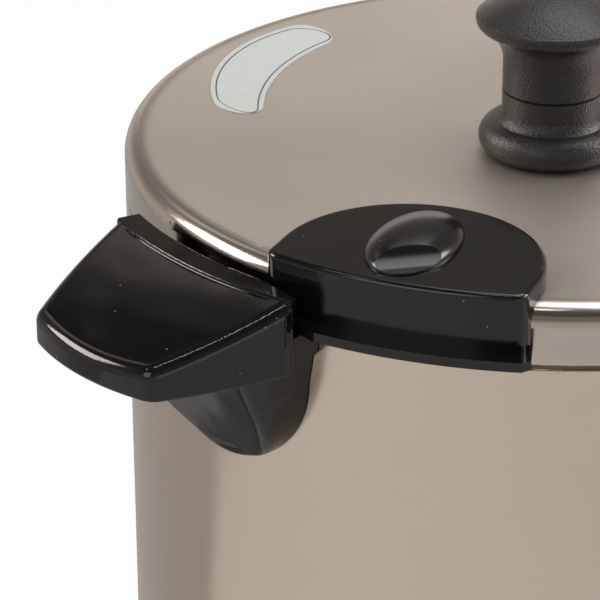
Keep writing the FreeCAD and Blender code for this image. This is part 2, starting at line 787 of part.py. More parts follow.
def make_tap():
    """The tap body with its shank and spout, gaskets, nut, bonnet, stem, cup, spring and lever."""
    seat = "tap_height - seat_drop"
    top = "tap_height + barrel_rise"
    low = "tap_height - barrel_drop"
    tip = "tap_height - spout_drop"
    barrel = turned("tap_barrel", [
        ("spout_bore_radius", tip),
        ("spout_radius", tip),
        ("spout_radius", low),
        ("barrel_radius", f"{low} + 3"),
        ("barrel_radius", top),
        ("chamber_radius", top),
        ("chamber_radius", seat),
        ("spout_bore_radius", seat),
    ], [("1", [("spout_radius", tip)])])
    place(barrel, (0, TAP_Y, 0))
    shank_end = "-body_radius + shell_thickness + gasket_thickness + tap_nut_thickness + 4"
    reach = f"{shank_end} - ({TAP_Y}) - chamber_radius - 1"
    shank_start = (0, f"{TAP_Y} + chamber_radius + 1", "tap_height")
    shank = cylinder("tap_shank", "shank_radius", reach, shank_start, "rear")
    flange_front = "-body_radius - gasket_thickness - tap_flange_thickness - running_gap"
    flange = cylinder("tap_flange", "tap_flange_radius", "tap_flange_thickness",
                      (0, flange_front, "tap_height"), "rear")
    bore = cylinder("tap_shank_bore", "shank_bore_radius", "tap_reach * 2", (0, TAP_Y, "tap_height"), "rear")
    keep("tap_body", cut("tap_cut", fuse("tap_whole", barrel, shank, flange), bore))

    def washer(name, inner, outer, thickness, at, facing):
        made = turned(name + "_turn", [(inner, 0), (outer, 0), (outer, thickness), (inner, thickness)])
        return keep(name, place(made, at, facing))

    washer("tap_gasket_outer", "shank_radius + running_gap", "tap_flange_radius", "gasket_thickness",
           (0, "-body_radius - gasket_thickness - running_gap", "tap_height"), "rear")
    inside = f"-sqrt(({INNER_RADIUS})^2 - inner_gasket_radius^2) + running_gap"
    washer("tap_gasket_inner", "shank_radius + running_gap", "inner_gasket_radius", "gasket_thickness",
           (0, inside, "tap_height"), "rear")
    washer("tap_nut", "shank_radius + running_gap", "tap_nut_radius", "tap_nut_thickness",
           (0, f"{inside} + gasket_thickness", "tap_height"), "rear")
    bonnet = turned("tap_bonnet_turn", [
        ("stem_radius + running_gap", f"{top} - bonnet_plug"),
        ("chamber_radius - running_gap", f"{top} - bonnet_plug"),
        ("chamber_radius - running_gap", top),
        ("bonnet_radius", top),
        ("bonnet_radius", f"{top} + bonnet_height"),
        ("stem_radius + running_gap", f"{top} + bonnet_height"),
    ], [("1.5", [("bonnet_radius", f"{top} + bonnet_height")])])
    keep("tap_bonnet", place(bonnet, (0, TAP_Y, 0)))
    cup_low = f"{seat} + fit_gap"
    collar = f"{cup_low} + cup_height"
    stem = turned("valve_stem_turn", [
        (0, f"{collar} - cup_bite"),
        ("stem_radius", f"{collar} - cup_bite"),
        ("stem_radius", collar),
        ("stem_collar_radius", collar),
        ("stem_collar_radius", f"{collar} + stem_collar_thickness"),
        ("stem_radius", f"{collar} + stem_collar_thickness"),
        ("stem_radius", f"{PIN_HEIGHT} + 3"),
        (0, f"{PIN_HEIGHT} + 3"),
    ])
    place(stem, (0, TAP_Y, 0))
    pin_hole = drill("stem_pin_hole", "lever_pin_radius", "4 * stem_radius",
                     ("-2 * stem_radius", TAP_Y, PIN_HEIGHT), "right")
    keep("valve_stem", cut("stem_cut", stem, pin_hole))
    cup = turned("seat_cup_turn", [
        (0, cup_low),
        ("cup_radius", cup_low),
        ("cup_radius", collar),
        ("stem_radius", collar),
        ("stem_radius", f"{collar} - cup_bite"),
        (0, f"{collar} - cup_bite"),
    ])
    keep("seat_cup", place(cup, (0, TAP_Y, 0)))
    spring_low = f"{collar} + stem_collar_thickness"
    washer("tap_spring", "spring_inner", "spring_outer", f"{top} - bonnet_plug - ({spring_low})",
           (0, TAP_Y, spring_low), "up")
    pin = cylinder("lever_pin_rod", "lever_pin_radius", "2 * lever_half_width",
                   ("-lever_half_width", TAP_Y, PIN_HEIGHT), "right")
    keep("lever_pin", pin)
    arm_top = "lever_length"
    blade = padded("lever_blade", "YZ_Plane", [
        ("lever_foot_half", "-lever_foot_depth"),
        ("lever_foot_half", "lever_foot_depth + 3"),
        ("lever_thickness / 2", "lever_foot_depth + 9"),
        ("lever_thickness / 2 - lever_lean", arm_top),
        ("-lever_thickness / 2 - lever_lean", arm_top, "lever_thickness / 2 + 0.05", 1),
        ("-lever_thickness / 2", "lever_foot_depth + 9"),
        ("-lever_foot_half", "lever_foot_depth + 3"),
        ("-lever_foot_half", "-lever_foot_depth"),
    ], "2 * lever_half_width", both=True)
    place(blade, (0, TAP_Y, PIN_HEIGHT))
    slot = box(
        "lever_slot",
        ("-lever_slot_half", f"{TAP_Y} - lever_foot_half - 1", f"{PIN_HEIGHT} - lever_foot_depth - 1"),
        ("lever_slot_half", f"{TAP_Y} + lever_foot_half + 1", f"{PIN_HEIGHT} + lever_foot_depth"),
    )
    hole = drill("lever_pin_hole", "lever_pin_radius + running_gap", "3 * lever_half_width",
                 ("-1.5 * lever_half_width", TAP_Y, PIN_HEIGHT), "right")
    keep("tap_lever", cut("lever_cut", blade, slot, hole))


def slope_tool(name, drop):
    """A block whose lower face is the wing's sloped top, lowered by a formula."""
    tool = box(name, (0, f"-2 * {WING_HALF}", 0), ("2 * wing_outer", f"2 * {WING_HALF}", "wing_outer"))
    tilt = FreeCAD.Rotation(Vector(0, 1, 0), amount("wing_slope"))
    tool.Placement = FreeCAD.Placement(Vector(), tilt)
    start = "wing_outer / 4"
    spot = (f"{WING_ROOT} - {start} * cos(wing_slope)", f"-2 * {WING_HALF}",
            f"rim_height + wing_top - ({drop}) + {start} * sin(wing_slope)")
    for axis, formula in zip("xyz", spot):
        tool.setExpression(f"Placement.Base.{axis}", cells(formula))
    document.recompute()
    return tool


def edge_round(name, base, radius, picked):
    """A solid with its picked edges rounded."""
    made = document.addObject("Part::Fillet", name)
    made.Base = base
    made.Edges = [(number, amount(radius), amount(radius)) for number in picked]
    document.recompute()
    return made


def make_wing():
    """The wing: a sloped pad with rounded edges, hollow below."""
    low = "rim_height - wing_bottom"
    end = "(wing_corner_half^2 + wing_corner^2) / (2 * wing_corner)"
    root = f"{WING_ROOT} - wing_wall"
    slab = padded("wing_slab", "XY_Plane", [
        (root, f"-{WING_HALF}"),
        (WING_ROOT, f"-{WING_HALF}"),
        (WING_CORNER, "-wing_corner_half", "wing_side_radius", 1),
        (WING_CORNER, "wing_corner_half", end, 1),
        (WING_ROOT, WING_HALF, "wing_side_radius", 1),
        (root, WING_HALF),
    ], "wing_bottom + rail_top + wing_wall", lift=low)
    upright = [
        f"Edge{number}" for number, edge in enumerate(slab.Tip.Shape.Edges, start=1)
        if abs(edge.BoundBox.XLength) < 0.001 and abs(edge.BoundBox.YLength) < 0.001
        and edge.BoundBox.Center.x > amount(WING_CORNER) - 1
    ]
    corner = slab.newObject("PartDesign::Fillet", "wing_corners")
    corner.Base = (slab.getObject("wing_slab_pad"), upright)
    corner.setExpression("Radius", cells("wing_corner_round"))
    document.recompute()
    sloped = cut("wing_sloped", slab, slope_tool("wing_slope_tool", "0"))
    upper = []
    fall = math.tan(math.radians(amount("wing_slope")))
    for number, edge in enumerate(sloped.Shape.Edges, start=1):
        middle = edge.valueAt((edge.FirstParameter + edge.LastParameter) / 2)
        if middle.x < amount(WING_ROOT) + 0.5:
            continue
        top = amount("rim_height + wing_top") - (middle.x - amount(WING_ROOT)) * fall
        if abs(middle.z - top) < 0.05:
            upper.append(number)
    crown = edge_round("wing_rounded", sloped, "wing_edge_round", upper)
    lower = [
        number for number, edge in enumerate(crown.Shape.Edges, start=1)
        if abs(edge.BoundBox.ZMax - amount(low)) < 0.01 and edge.BoundBox.Center.x > amount(WING_ROOT) + 1
        and edge.BoundBox.XLength + edge.BoundBox.YLength > 1
    ]
    crown = edge_round("wing_under", crown, "wing_lower_round", lower)
    inset = "1.2 * wing_wall"
    near = f"{SLOT_EDGE} + 1.7 * wing_wall"
    hollow = padded("wing_hollow", "XY_Plane", [
        (near, f"-{WING_HALF} + 2 * wing_wall"),
        (f"{WING_CORNER} - wing_wall", f"-wing_corner_half + {inset}"),
        (f"{WING_CORNER} - wing_wall", f"wing_corner_half - {inset}", end, 1),
        (near, f"{WING_HALF} - 2 * wing_wall"),
    ], "wing_bottom + rail_top + wing_wall", lift=f"{low} - 1")
    ceiling = slope_tool("wing_ceiling_tool", "1.2 * wing_wall")
    return cut("wing_tray", crown, cut("wing_hollow_cut", hollow, ceiling))


def make_leg():
    """The leg under the wing: a wedge against the tank, hollow behind, with two screw bosses."""
    base = "rim_height"
    slope = "(leg_reach - leg_foot) / (leg_knee_drop - wing_bottom)"

    def face(name, inset):
        half = f"pad_low_half - {inset}"
        return padded(name, "YZ_Plane", [
            (f"-pad_top_half + {inset}", f"{base} + slot_floor - {inset}"),
            (f"-({half})", f"{base} - pad_centre_drop"),
            (0, f"{base} - pad_centre_drop - ({half})", half, 1),
            (half, f"{base} - pad_centre_drop", half, 1),
            (f"pad_top_half - {inset}", f"{base} + slot_floor - {inset}"),
        ], "2 * leg_reach", lift="body_radius - leg_foot")

    def side(name, inset):
        back = "body_radius - leg_foot - 1"
        low = f"{base} - pad_centre_drop - pad_low_half - 1"
        return padded(name, "XZ_Plane", [
            (back, low),
            (f"body_radius + leg_foot - {inset}", low),
            (f"body_radius + leg_foot - {inset}", f"{base} - leg_knee_drop"),
            (f"body_radius + leg_reach + {slope} * (wing_bottom + slot_floor) - {inset}",
             f"{base} + slot_floor"),
            (back, f"{base} + slot_floor"),
        ], "3 * pad_top_half", both=True)

    wedge = common("leg_wedge", face("leg_face", "0"), side("leg_side", "0"))
    knee = amount(f"{base} - leg_knee_drop")
    picked = []
    for number, edge in enumerate(wedge.Shape.Edges, start=1):
        middle = edge.valueAt((edge.FirstParameter + edge.LastParameter) / 2)
        rise = max(0, middle.z - knee)
        outer = amount("body_radius + leg_foot") + amount(slope) * rise
        inside_wing = edge.BoundBox.ZMin > amount(f"{base} + slot_floor") - 0.1
        bend = edge.BoundBox.ZLength < 0.01 and abs(middle.z - knee) < 0.01
        if abs(middle.x - outer) < 0.02 and not inside_wing and not bend:
            picked.append(number)
    rounded = edge_round("leg_rounded", wedge, "leg_round", picked)
    inner = common("leg_inner", face("leg_inner_face", "leg_wall"), side("leg_inner_side", "leg_wall"))
    bosses = []
    for level in ("high", "low"):
        at = ("body_radius - leg_foot - 2", 0, f"{base} - handle_screw_{level}")
        bosses.append(cylinder(f"leg_{level}_boss", "leg_boss_radius", "2 * leg_reach", at, "right"))
    return cut("leg_hollowed", rounded, cut("leg_hollow", inner, *bosses))


def make_handle():
    """The two side handles: wing, leg, rail over its slot and shelf, with their screws and washers."""
    base = "rim_height"
    half_angle = "rail_half_angle"
    body_gap = "body_radius + handle_gap"
    rail_low = f"{base} + rail_top - rail_thickness"
    rail = ring("rail", RAIL_EDGE, RAIL_NEAR, rail_low, f"{base} + rail_top", f"-{half_angle}", half_angle)
    top = amount(f"{base} + rail_top")
    upper = [
        number for number, edge in enumerate(rail.Shape.Edges, start=1)
        if abs(edge.BoundBox.ZMin - top) < 0.001 and isinstance(edge.Curve, Part.Circle)
    ]
    rail = edge_round("rail_rounded", rail, "rail_round", upper)
    shelf = ring("shelf", f"{WING_ROOT} + wing_wall", body_gap, f"{base} + slot_floor - shelf_depth",
                 f"{base} + slot_floor", f"-{half_angle}", half_angle)
    stop = ring("slot_stop", RAIL_EDGE, RAIL_NEAR, f"{base} + slot_floor - 1", f"{rail_low} + 1",
                f"-{half_angle}", "-slot_stop_angle")
    wall = ring("slot_wall", f"{SLOT_EDGE} + wing_wall", SLOT_EDGE, f"{base} + slot_floor - 1",
                f"{rail_low} - fit_gap", f"-{half_angle}", half_angle)
    solid = fuse("handle_solid", make_wing(), rail, shelf, stop, wall, make_leg())
    tall = "2 * leg_knee_drop + rail_top"
    clear = cylinder("handle_body_clear", body_gap, tall, (0, 0, f"{base} - 1.5 * leg_knee_drop"))
    slot_clear = ring("slot_clear", SLOT_EDGE, body_gap, f"{base} + slot_floor", rail_low,
                      "-slot_stop_angle", f"{half_angle} + 4")
    mouth = ring("rail_mouth", RAIL_NEAR, BLOCK_WAIST, f"{base} + slot_floor", f"{base} + block_top",
                 f"-{half_angle} - 2", f"{half_angle} + 6")
    flare_edge = f"{RAIL_EDGE} - rail_flare_radius"
    flare_start = polar(f"{RAIL_NEAR} + 0.6", "rail_flare_start")
    flare_end = polar(flare_edge, f"{half_angle} + 0.4")
    past_end = polar(f"{flare_edge} + 0.6", f"{half_angle} + 2")
    inside_end = polar(BLOCK_WAIST, f"{half_angle} + 6")
    inside_start = polar(BLOCK_WAIST, "rail_flare_start")
    flare = padded("rail_flare", "XY_Plane", [inside_start, flare_start, flare_end, past_end, inside_end],
                   "rail_thickness + 3", lift=f"{rail_low} - 0.01")
    bores = []
    for level in ("high", "low"):
        at = ("body_radius - 1", 0, f"{base} - handle_screw_{level}")
        bores.append(drill(f"handle_{level}_bore", "handle_screw_radius", "handle_screw_length + 1",
                           at, "right"))
    made = cut("handle_made", solid, clear, slot_clear, mouth, flare, *bores)
    keep("right_handle", made)
    other = document.addObject("Part::Feature", "left_handle_copy")
    other.Shape = made.Shape.copy()
    other.Placement = FreeCAD.Placement(Vector(), FreeCAD.Rotation(Vector(0, 0, 1), 180))
    keep("left_handle", other)
    for side, sign in (("left", "-"), ("right", "")):
        for level in ("high", "low"):
            height = f"{base} - handle_screw_{level}"
            seat = f"sqrt(({INNER_RADIUS})^2 - washer_radius^2) - running_gap"
            ring_piece = turned(f"{side}_{level}_washer_turn", [
                ("handle_screw_radius + running_gap", 0),
                ("washer_radius", 0),
                ("washer_radius", "washer_thickness"),
                ("handle_screw_radius + running_gap", "washer_thickness"),
            ])
            at = (f"{sign}({seat} - washer_thickness)", 0, height)
            keep(f"{side}_{level}_seal_washer", place(ring_piece, at, side))
            screw = turned(f"{side}_{level}_screw_turn", [
                (0, -2.4),
                ("handle_screw_head", -2.4),
                ("handle_screw_head", 0),
                ("handle_screw_radius", 0),
                ("handle_screw_radius", f"body_radius + handle_screw_length - ({seat} - washer_thickness)"),
                (0, f"body_radius + handle_screw_length - ({seat} - washer_thickness)"),
            ], [("1.2", [("handle_screw_head", -2.4)])])
            keep(f"{side}_{level}_handle_screw", place(screw, at, side))


def make_lid():
    """The dished steel lid with its skirt, drilled for the knob bolt and block screws."""
    outer = lid_curve("0")
    inner = lid_curve("-lid_thickness")
    corners = [(0, outer[0][1]), outer[0], outer[1], outer[2]]
    corners.append(("body_radius", "rim_height"))
    corners.append(("body_radius - lid_thickness", "rim_height"))
    corners.append((inner[2][0].replace("+ -", "- "), inner[2][1]))
    corners.append((inner[1][0], inner[1][1], inner[2][2], 1))
    corners.append((inner[0][0], inner[0][1], inner[1][2], -1))
    corners.append((0, inner[0][1]))
    shell = turned("lid_turn_body", corners)
    holes = [cylinder("lid_bolt_hole", "knob_bolt_radius + running_gap", "block_top", (0, 0, "rim_height"))]
    for side in ("left", "right"):
        for hand in ("fore", "aft"):
            at = block_screw_spot(side, hand) + ("rim_height",)
            holes.append(cylinder(f"lid_{side}_{hand}_hole", "block_screw_radius + fit_gap", "block_top", at))
    keep("lid_shell", cut("lid_drilled", shell, *holes))
    curve = lid_curve("block_clearance")
    envelope = turned("lid_envelope", [
        (0, "rim_height"),
        ("body_radius + block_clearance", "rim_height"),
        ("body_radius + block_clearance", "rim_height + skirt_height"),
        (curve[1][0], curve[1][1], curve[2][2], 1),
        (curve[0][0], curve[0][1], curve[1][2], -1),
        (0, curve[0][1]),
    ])
    seal = turned("seal_ring_turn", [
        ("body_radius - ring_lip_inner", f"{LIP_TOP} - ring_lip_drop"),
        (f"{LIP_INNER} - fit_gap", f"{LIP_TOP} - ring_lip_drop"),
        (f"{LIP_INNER} - fit_gap", LIP_TOP),
        ("body_radius - ring_outer", LIP_TOP),
        ("body_radius - ring_outer", f"{LIP_TOP} + 4"),
        (CREST_RADIUS, f"rim_height + {CREST_RISE} - lid_thickness - fit_gap - 0.4"),
        ("body_radius - ring_inner + 0.8", f"rim_height + {CREST_RISE} - lid_thickness - fit_gap - 0.9"),
        ("body_radius - ring_lip_inner", f"{LIP_TOP} + 1"),
    ])
    keep("seal_ring", seal)
    return envelope


def block_angle(side):
    """Polar angle of a lid block's middle."""
    return "block_turn" if side == "right" else "block_turn + 180"


def block_screw_spot(side, hand):
    """Formulas for the place of a block screw."""
    sign = "-" if hand == "aft" else "+"
    turn = block_angle(side)
    along = polar(BLOCK_SCREW, turn)
    across = polar("block_screw_side", f"({turn}) + 90")
    return f"{along[0]} {sign} {across[0]}", f"{along[1]} {sign} {across[1]}"


def screw_seat():
    """Height of a block screw's head under the sloped lid, at its inner edge."""
    reach = f"sqrt({BLOCK_SCREW}^2 + block_screw_side^2)"
    run = f"({reach} - block_screw_head - lid_seat_radius) / ({CREST_RADIUS} - lid_seat_radius)"
    return f"{SEAT_TOP} - lid_thickness + ({CREST_RISE} - lid_seat_rise) * ({run})^2 - running_gap"


def make_blocks(envelope):
    """The two lid blocks with their locking flanges, glossy domes and screws."""
    front = polar(BLOCK_FRONT, "block_half_angle")
    back_radius = "(block_waist_half^2 + (block_back - block_waist)^2) / (2 * (block_back - block_waist))"
    plan = padded("block_plan", "XY_Plane", [
        (front[0], f"-({front[1]})"),
        (front[0], front[1], BLOCK_FRONT, 1),
        (BLOCK_WAIST, "block_waist_half"),
        (BLOCK_BACK, 0, back_radius, 1),
        (BLOCK_WAIST, "-block_waist_half", back_radius, 1),
    ], "block_top - flange_low", lift="rim_height + flange_low")
    corners = [
        f"Edge{number}" for number, edge in enumerate(plan.Tip.Shape.Edges, start=1)
        if edge.BoundBox.XLength < 0.001 and edge.BoundBox.YLength < 0.001
        and edge.BoundBox.Center.x > amount(BLOCK_WAIST) + 1
    ]
    rounded = plan.newObject("PartDesign::Fillet", "block_corners")
    rounded.Base = (plan.getObject("block_plan_pad"), corners)
    rounded.setExpression("Radius", cells("block_corner_round"))
    document.recompute()
    top = amount("rim_height + block_top")
    rim = [
        f"Edge{number}" for number, edge in enumerate(plan.Tip.Shape.Edges, start=1)
        if edge.BoundBox.ZLength < 0.001 and abs(edge.BoundBox.ZMax - top) < 0.001
    ]
    softened = plan.newObject("PartDesign::Fillet", "block_edge")
    softened.Base = (rounded, rim)
    softened.setExpression("Radius", cells("block_edge_round"))
    document.recompute()
    root = "body_radius + flange_root"
    flange = padded("block_flange", "XY_Plane", [
        polar(root, "flange_start"),
        polar(f"{FLANGE_EDGE} - flange_tip", "flange_start"),
        polar(FLANGE_EDGE, "flange_full"),
        polar(FLANGE_EDGE, "flange_end - 1") + (FLANGE_EDGE, 1),
        polar(f"{FLANGE_EDGE} - flange_chamfer", "flange_end"),
        polar(root, "flange_end"),
    ], "flange_high - flange_low", lift="rim_height + flange_low")
    whole = fuse("block_whole", plan, flange)
    centre = "body_radius - dome_centre"
    tools = []
    for hand, sign in (("fore", ""), ("aft", "-")):
        at = (BLOCK_SCREW, f"{sign}block_screw_side", "rim_height")
        height = f"{screw_seat()} + block_screw_length + fit_gap - rim_height"
        tools.append(cylinder(f"block_{hand}_bore", "block_screw_radius", height, at))
    tools.append(cylinder("block_dome_bore", "dome_peg_radius + running_gap", "dome_peg_length + 0.3",
                          (centre, "-dome_side", "rim_height + block_top - dome_peg_length - 0.3")))
    block = cut("block_made", whole, envelope, *tools)
    dome = document.addObject("Part::Ellipsoid", "dome_cap")
    dome.setExpression("Radius1", cells("dome_height"))
    dome.setExpression("Radius2", cells("dome_half_length"))
    dome.setExpression("Radius3", cells("dome_half_width"))
    dome.Angle1 = 0
    place(dome, (centre, "-dome_side", "rim_height + block_top"))
    scoop = document.addObject("Part::Cylinder", "dome_scoop")
    scoop.setExpression("Radius", cells("scoop_radius"))
    scoop.setExpression("Height", cells("4 * dome_half_width"))
    angle = amount("scoop_turn")
    along = FreeCAD.Rotation(Vector(0, 0, 1), angle).multiply(FACING["rear"])
    scoop.Placement = FreeCAD.Placement(Vector(), along)
    spot = (
        f"{centre} + scoop_place * cos(scoop_turn) + 2 * dome_half_width * sin(scoop_turn)",
        "-dome_side + scoop_place * sin(scoop_turn) - 2 * dome_half_width * cos(scoop_turn)",
        "rim_height + block_top + scoop_floor + scoop_radius",
    )
    for axis, formula in zip("xyz", spot):
        scoop.setExpression(f"Placement.Base.{axis}", cells(formula))
    document.recompute()
    peg = cylinder("dome_peg", "dome_peg_radius", "dome_peg_length + 1",
                   (centre, "-dome_side", "rim_height + block_top - dome_peg_length"))
    cap = fuse("dome_whole", cut("dome_scooped", dome, scoop), peg)
    for side in ("left", "right"):
        turn = FreeCAD.Rotation(Vector(0, 0, 1), amount(block_angle(side)))
        for label, source in ((f"{side}_lid_block", block), (f"{side}_block_dome", cap)):
            copied = document.addObject("Part::Feature", label + "_copy")
            copied.Shape = source.Shape.copy()
            copied.Placement = FreeCAD.Placement(Vector(), turn)
            keep(label, copied)
        for hand in ("fore", "aft"):
            screw = turned(f"{side}_{hand}_block_screw_turn", [
                (0, "-block_screw_head_height"),
                ("block_screw_head", "-block_screw_head_height"),
                ("block_screw_head", 0),
                ("block_screw_radius", 0),
                ("block_screw_radius", "block_screw_length"),
                (0, "block_screw_length"),
            ])
            spot = block_screw_spot(side, hand) + (screw_seat(),)
            keep(f"{side}_{hand}_block_screw", place(screw, spot))


def make_knob():
    """The turned knob in two pieces with the bolt and washer that hold it through the lid."""
    bore = "knob_bolt_radius + running_gap"
    edge = "knob_flange_radius - knob_flange_round"
    seat = SEAT_TOP
    split = "rim_height + knob_split"
    groove = "knob_neck_radius - knob_groove_depth"
    base = turned("knob_base_turn", [
        (bore, seat),
        (edge, seat),
        ("knob_flange_radius", f"{seat} + knob_flange_round", "knob_flange_round", 1),
        (edge, f"{seat} + 2 * knob_flange_round", "knob_flange_round", 1),
        ("knob_neck_radius", "rim_height + knob_neck_start", "knob_flange_round", -1),
        ("knob_neck_radius", f"{split} - knob_groove_half"),
        (groove, split),
        (bore, split),
    ])
    keep("knob_base", base)
    top_rise = "(knob_top - knob_cap_edge)"
    crown = f"(knob_cap_radius^2 + {top_rise}^2) / (2 * {top_rise})"
    cap = turned("knob_cap_turn", [
        (bore, split),
        (groove, split),
        ("knob_neck_radius", f"{split} + knob_groove_half"),
        ("knob_neck_radius", "rim_height + knob_flare_start"),
        ("knob_flare_radius", "rim_height + knob_flare_end", "knob_flare_end - knob_flare_start + 1.6", -1),
        ("knob_cap_radius", "rim_height + knob_cap_edge", "3.4", 1),
        (0, "rim_height + knob_top", crown, 1),
        (0, "rim_height + knob_bolt_reach + fit_gap"),
        (bore, "rim_height + knob_bolt_reach + fit_gap"),
    ])
    keep("knob_cap", cap)
    under = f"{seat} - lid_thickness"
    washer = turned("knob_washer_turn", [
        (bore, f"{under} - knob_washer_thickness"),
        ("knob_washer_radius", f"{under} - knob_washer_thickness"),
        ("knob_washer_radius", under),
        (bore, under),
    ])
    keep("knob_washer", washer)
    head = f"{under} - knob_washer_thickness"
    bolt = turned("knob_bolt_turn", [
        (0, f"{head} - knob_bolt_head_height"),
        ("knob_bolt_head", f"{head} - knob_bolt_head_height"),
        ("knob_bolt_head", head),
        ("knob_bolt_radius", head),
        ("knob_bolt_radius", "rim_height + knob_bolt_reach"),
        (0, "rim_height + knob_bolt_reach"),
    ], [("1", [("knob_bolt_head", f"{head} - knob_bolt_head_height")])])
    keep("knob_bolt", bolt)


def make_label():
    """The blank kidney-shaped sticker on the dished lid. Its outline grows with the top of the lid."""
    fitted = f"({CREST_RADIUS}) / label_top_radius"
    outer_centre = (f"label_outer_centre_x * {fitted}", f"label_outer_centre_y * {fitted}")
    inner_centre = (f"label_inner_centre_x * {fitted}", f"label_inner_centre_y * {fitted}")
    outer_reach = f"label_outer_radius * {fitted}"
    inner_reach = f"label_inner_radius * {fitted}"

    def on_arc(centre, radius, angle):
        spot = polar(radius, angle)
        return f"{centre[0]} + {spot[0]}", f"{centre[1]} + {spot[1]}"

    outer_low = on_arc(outer_centre, outer_reach, "label_low_angle")
    outer_high = on_arc(outer_centre, outer_reach, "label_high_angle")
    inner_low = on_arc(inner_centre, inner_reach, "label_low_angle - 8")
    inner_high = on_arc(inner_centre, inner_reach, "label_high_angle + 8")
    plan = padded("label_plan", "XY_Plane", [
        outer_high,
        outer_low + (outer_reach, 1),
        inner_low,
        inner_high + (inner_reach, -1),
    ], "block_top", lift="rim_height")
    upright = [
        f"Edge{number}" for number, edge in enumerate(plan.Tip.Shape.Edges, start=1)
        if edge.BoundBox.XLength < 0.001 and edge.BoundBox.YLength < 0.001
    ]
    rounded = plan.newObject("PartDesign::Fillet", "label_corners")
    rounded.Base = (plan.getObject("label_plan_pad"), upright)
    rounded.setExpression("Radius", cells("label_round"))
    document.recompute()
    place(plan, (0, 0, 0), spin="-label_turn")
    upper = lid_curve("(running_gap + label_thickness)")
    lower = lid_curve("running_gap")
    skin = turned("label_skin", [
        upper[0],
        upper[1],
        (lower[1][0], lower[1][1]),
        (lower[0][0], lower[0][1], lower[1][2], -1),
    ])
    keep("lid_label", common("label_made", plan, skin))


make_tank()
make_base()
make_heating()
make_controls()
make_inlet()
make_tap()
make_handle()
lid_space = make_lid()
make_blocks(lid_space)
make_knob()
make_label()
document.recompute()

for made in document.Objects:
    if "Invalid" in made.State or "Error" in made.State:
        raise RuntimeError(f"{made.Label} did not recompute: {made.State}")
for label, piece in PIECES.items():
    if piece.Shape.isNull() or not piece.Shape.isValid() or not piece.Shape.Solids:
        raise RuntimeError(f"{label} has no valid solid")
os.makedirs("parts", exist_ok=True)
for label, piece in PIECES.items():
    piece.Shape.exportStep(f"parts/{label}.step")
    print(label, len(piece.Shape.Solids), round(piece.Shape.Volume, 1))
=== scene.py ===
# %% [markdown]
# # Dressing a hot water urn
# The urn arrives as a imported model: a fixed frame of nodes, each already in its place, in metres.
# This lesson adds a camera, a pale studio, procedural finishes and the small pieces that the
# solids leave out. The frame itself is never moved or reshaped, only finished.

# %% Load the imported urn
import json
import math

import bpy
from mathutils import Matrix, Vector


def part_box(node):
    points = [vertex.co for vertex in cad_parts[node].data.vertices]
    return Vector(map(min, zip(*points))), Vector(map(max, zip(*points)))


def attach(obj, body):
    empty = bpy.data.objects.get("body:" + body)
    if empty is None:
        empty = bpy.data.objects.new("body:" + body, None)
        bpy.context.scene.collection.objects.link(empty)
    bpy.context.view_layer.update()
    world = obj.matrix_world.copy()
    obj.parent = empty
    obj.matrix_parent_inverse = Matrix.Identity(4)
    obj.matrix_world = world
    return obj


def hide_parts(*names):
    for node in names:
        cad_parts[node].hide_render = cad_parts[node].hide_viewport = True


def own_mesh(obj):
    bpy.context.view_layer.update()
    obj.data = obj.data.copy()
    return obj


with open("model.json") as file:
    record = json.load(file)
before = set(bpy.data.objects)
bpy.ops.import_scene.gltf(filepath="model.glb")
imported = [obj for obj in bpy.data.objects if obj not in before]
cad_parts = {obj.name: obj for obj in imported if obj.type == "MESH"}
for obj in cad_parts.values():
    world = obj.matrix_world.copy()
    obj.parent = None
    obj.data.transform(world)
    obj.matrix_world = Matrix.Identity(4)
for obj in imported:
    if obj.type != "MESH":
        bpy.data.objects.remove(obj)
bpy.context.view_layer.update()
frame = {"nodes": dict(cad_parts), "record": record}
bpy.context.scene.view_settings.view_transform = "Standard"

# %% [markdown]
# ## The camera
# The photograph looks down on the lid from the front left, from nearly a metre away, with a long
# lens. A camera can be placed by its own three directions: right, up and forward. They are the
# columns of its rotation, the last one turned about, because a camera looks along its own -Z.

# %% Place the camera by its three directions
CAMERA_PLACE = Vector((-0.62898, -0.60107, 0.7692))
CAMERA_RIGHT = Vector((0.75087, -0.66039, -0.0035))
CAMERA_UP = Vector((0.28551, 0.31986, 0.9034))
CAMERA_FORWARD = Vector((0.59547, 0.67942, -0.4288))
FOCAL_LENGTH = 183.98
SENSOR_WIDTH = 36.0

turn = Matrix((CAMERA_RIGHT, CAMERA_UP, -CAMERA_FORWARD)).transposed()
lens = bpy.data.cameras.new("view_camera")
lens.lens = FOCAL_LENGTH
lens.sensor_width = SENSOR_WIDTH
camera = bpy.data.objects.new("view_camera", lens)
camera.rotation_euler = turn.to_euler()
camera.location = CAMERA_PLACE
bpy.context.scene.collection.objects.link(camera)
bpy.context.scene.camera = camera
print("camera", tuple(round(value, 3) for value in camera.location))

# %% [markdown]
# ## A way to write shader maths
# A material is a graph of nodes. Written node by node it is long and hard to read, so one small
# class wraps a socket and gives it Python's operators. `1 - mask` then adds a Math node by itself.
# A second class adds any other node in one call: its type, its settings, then its sockets.

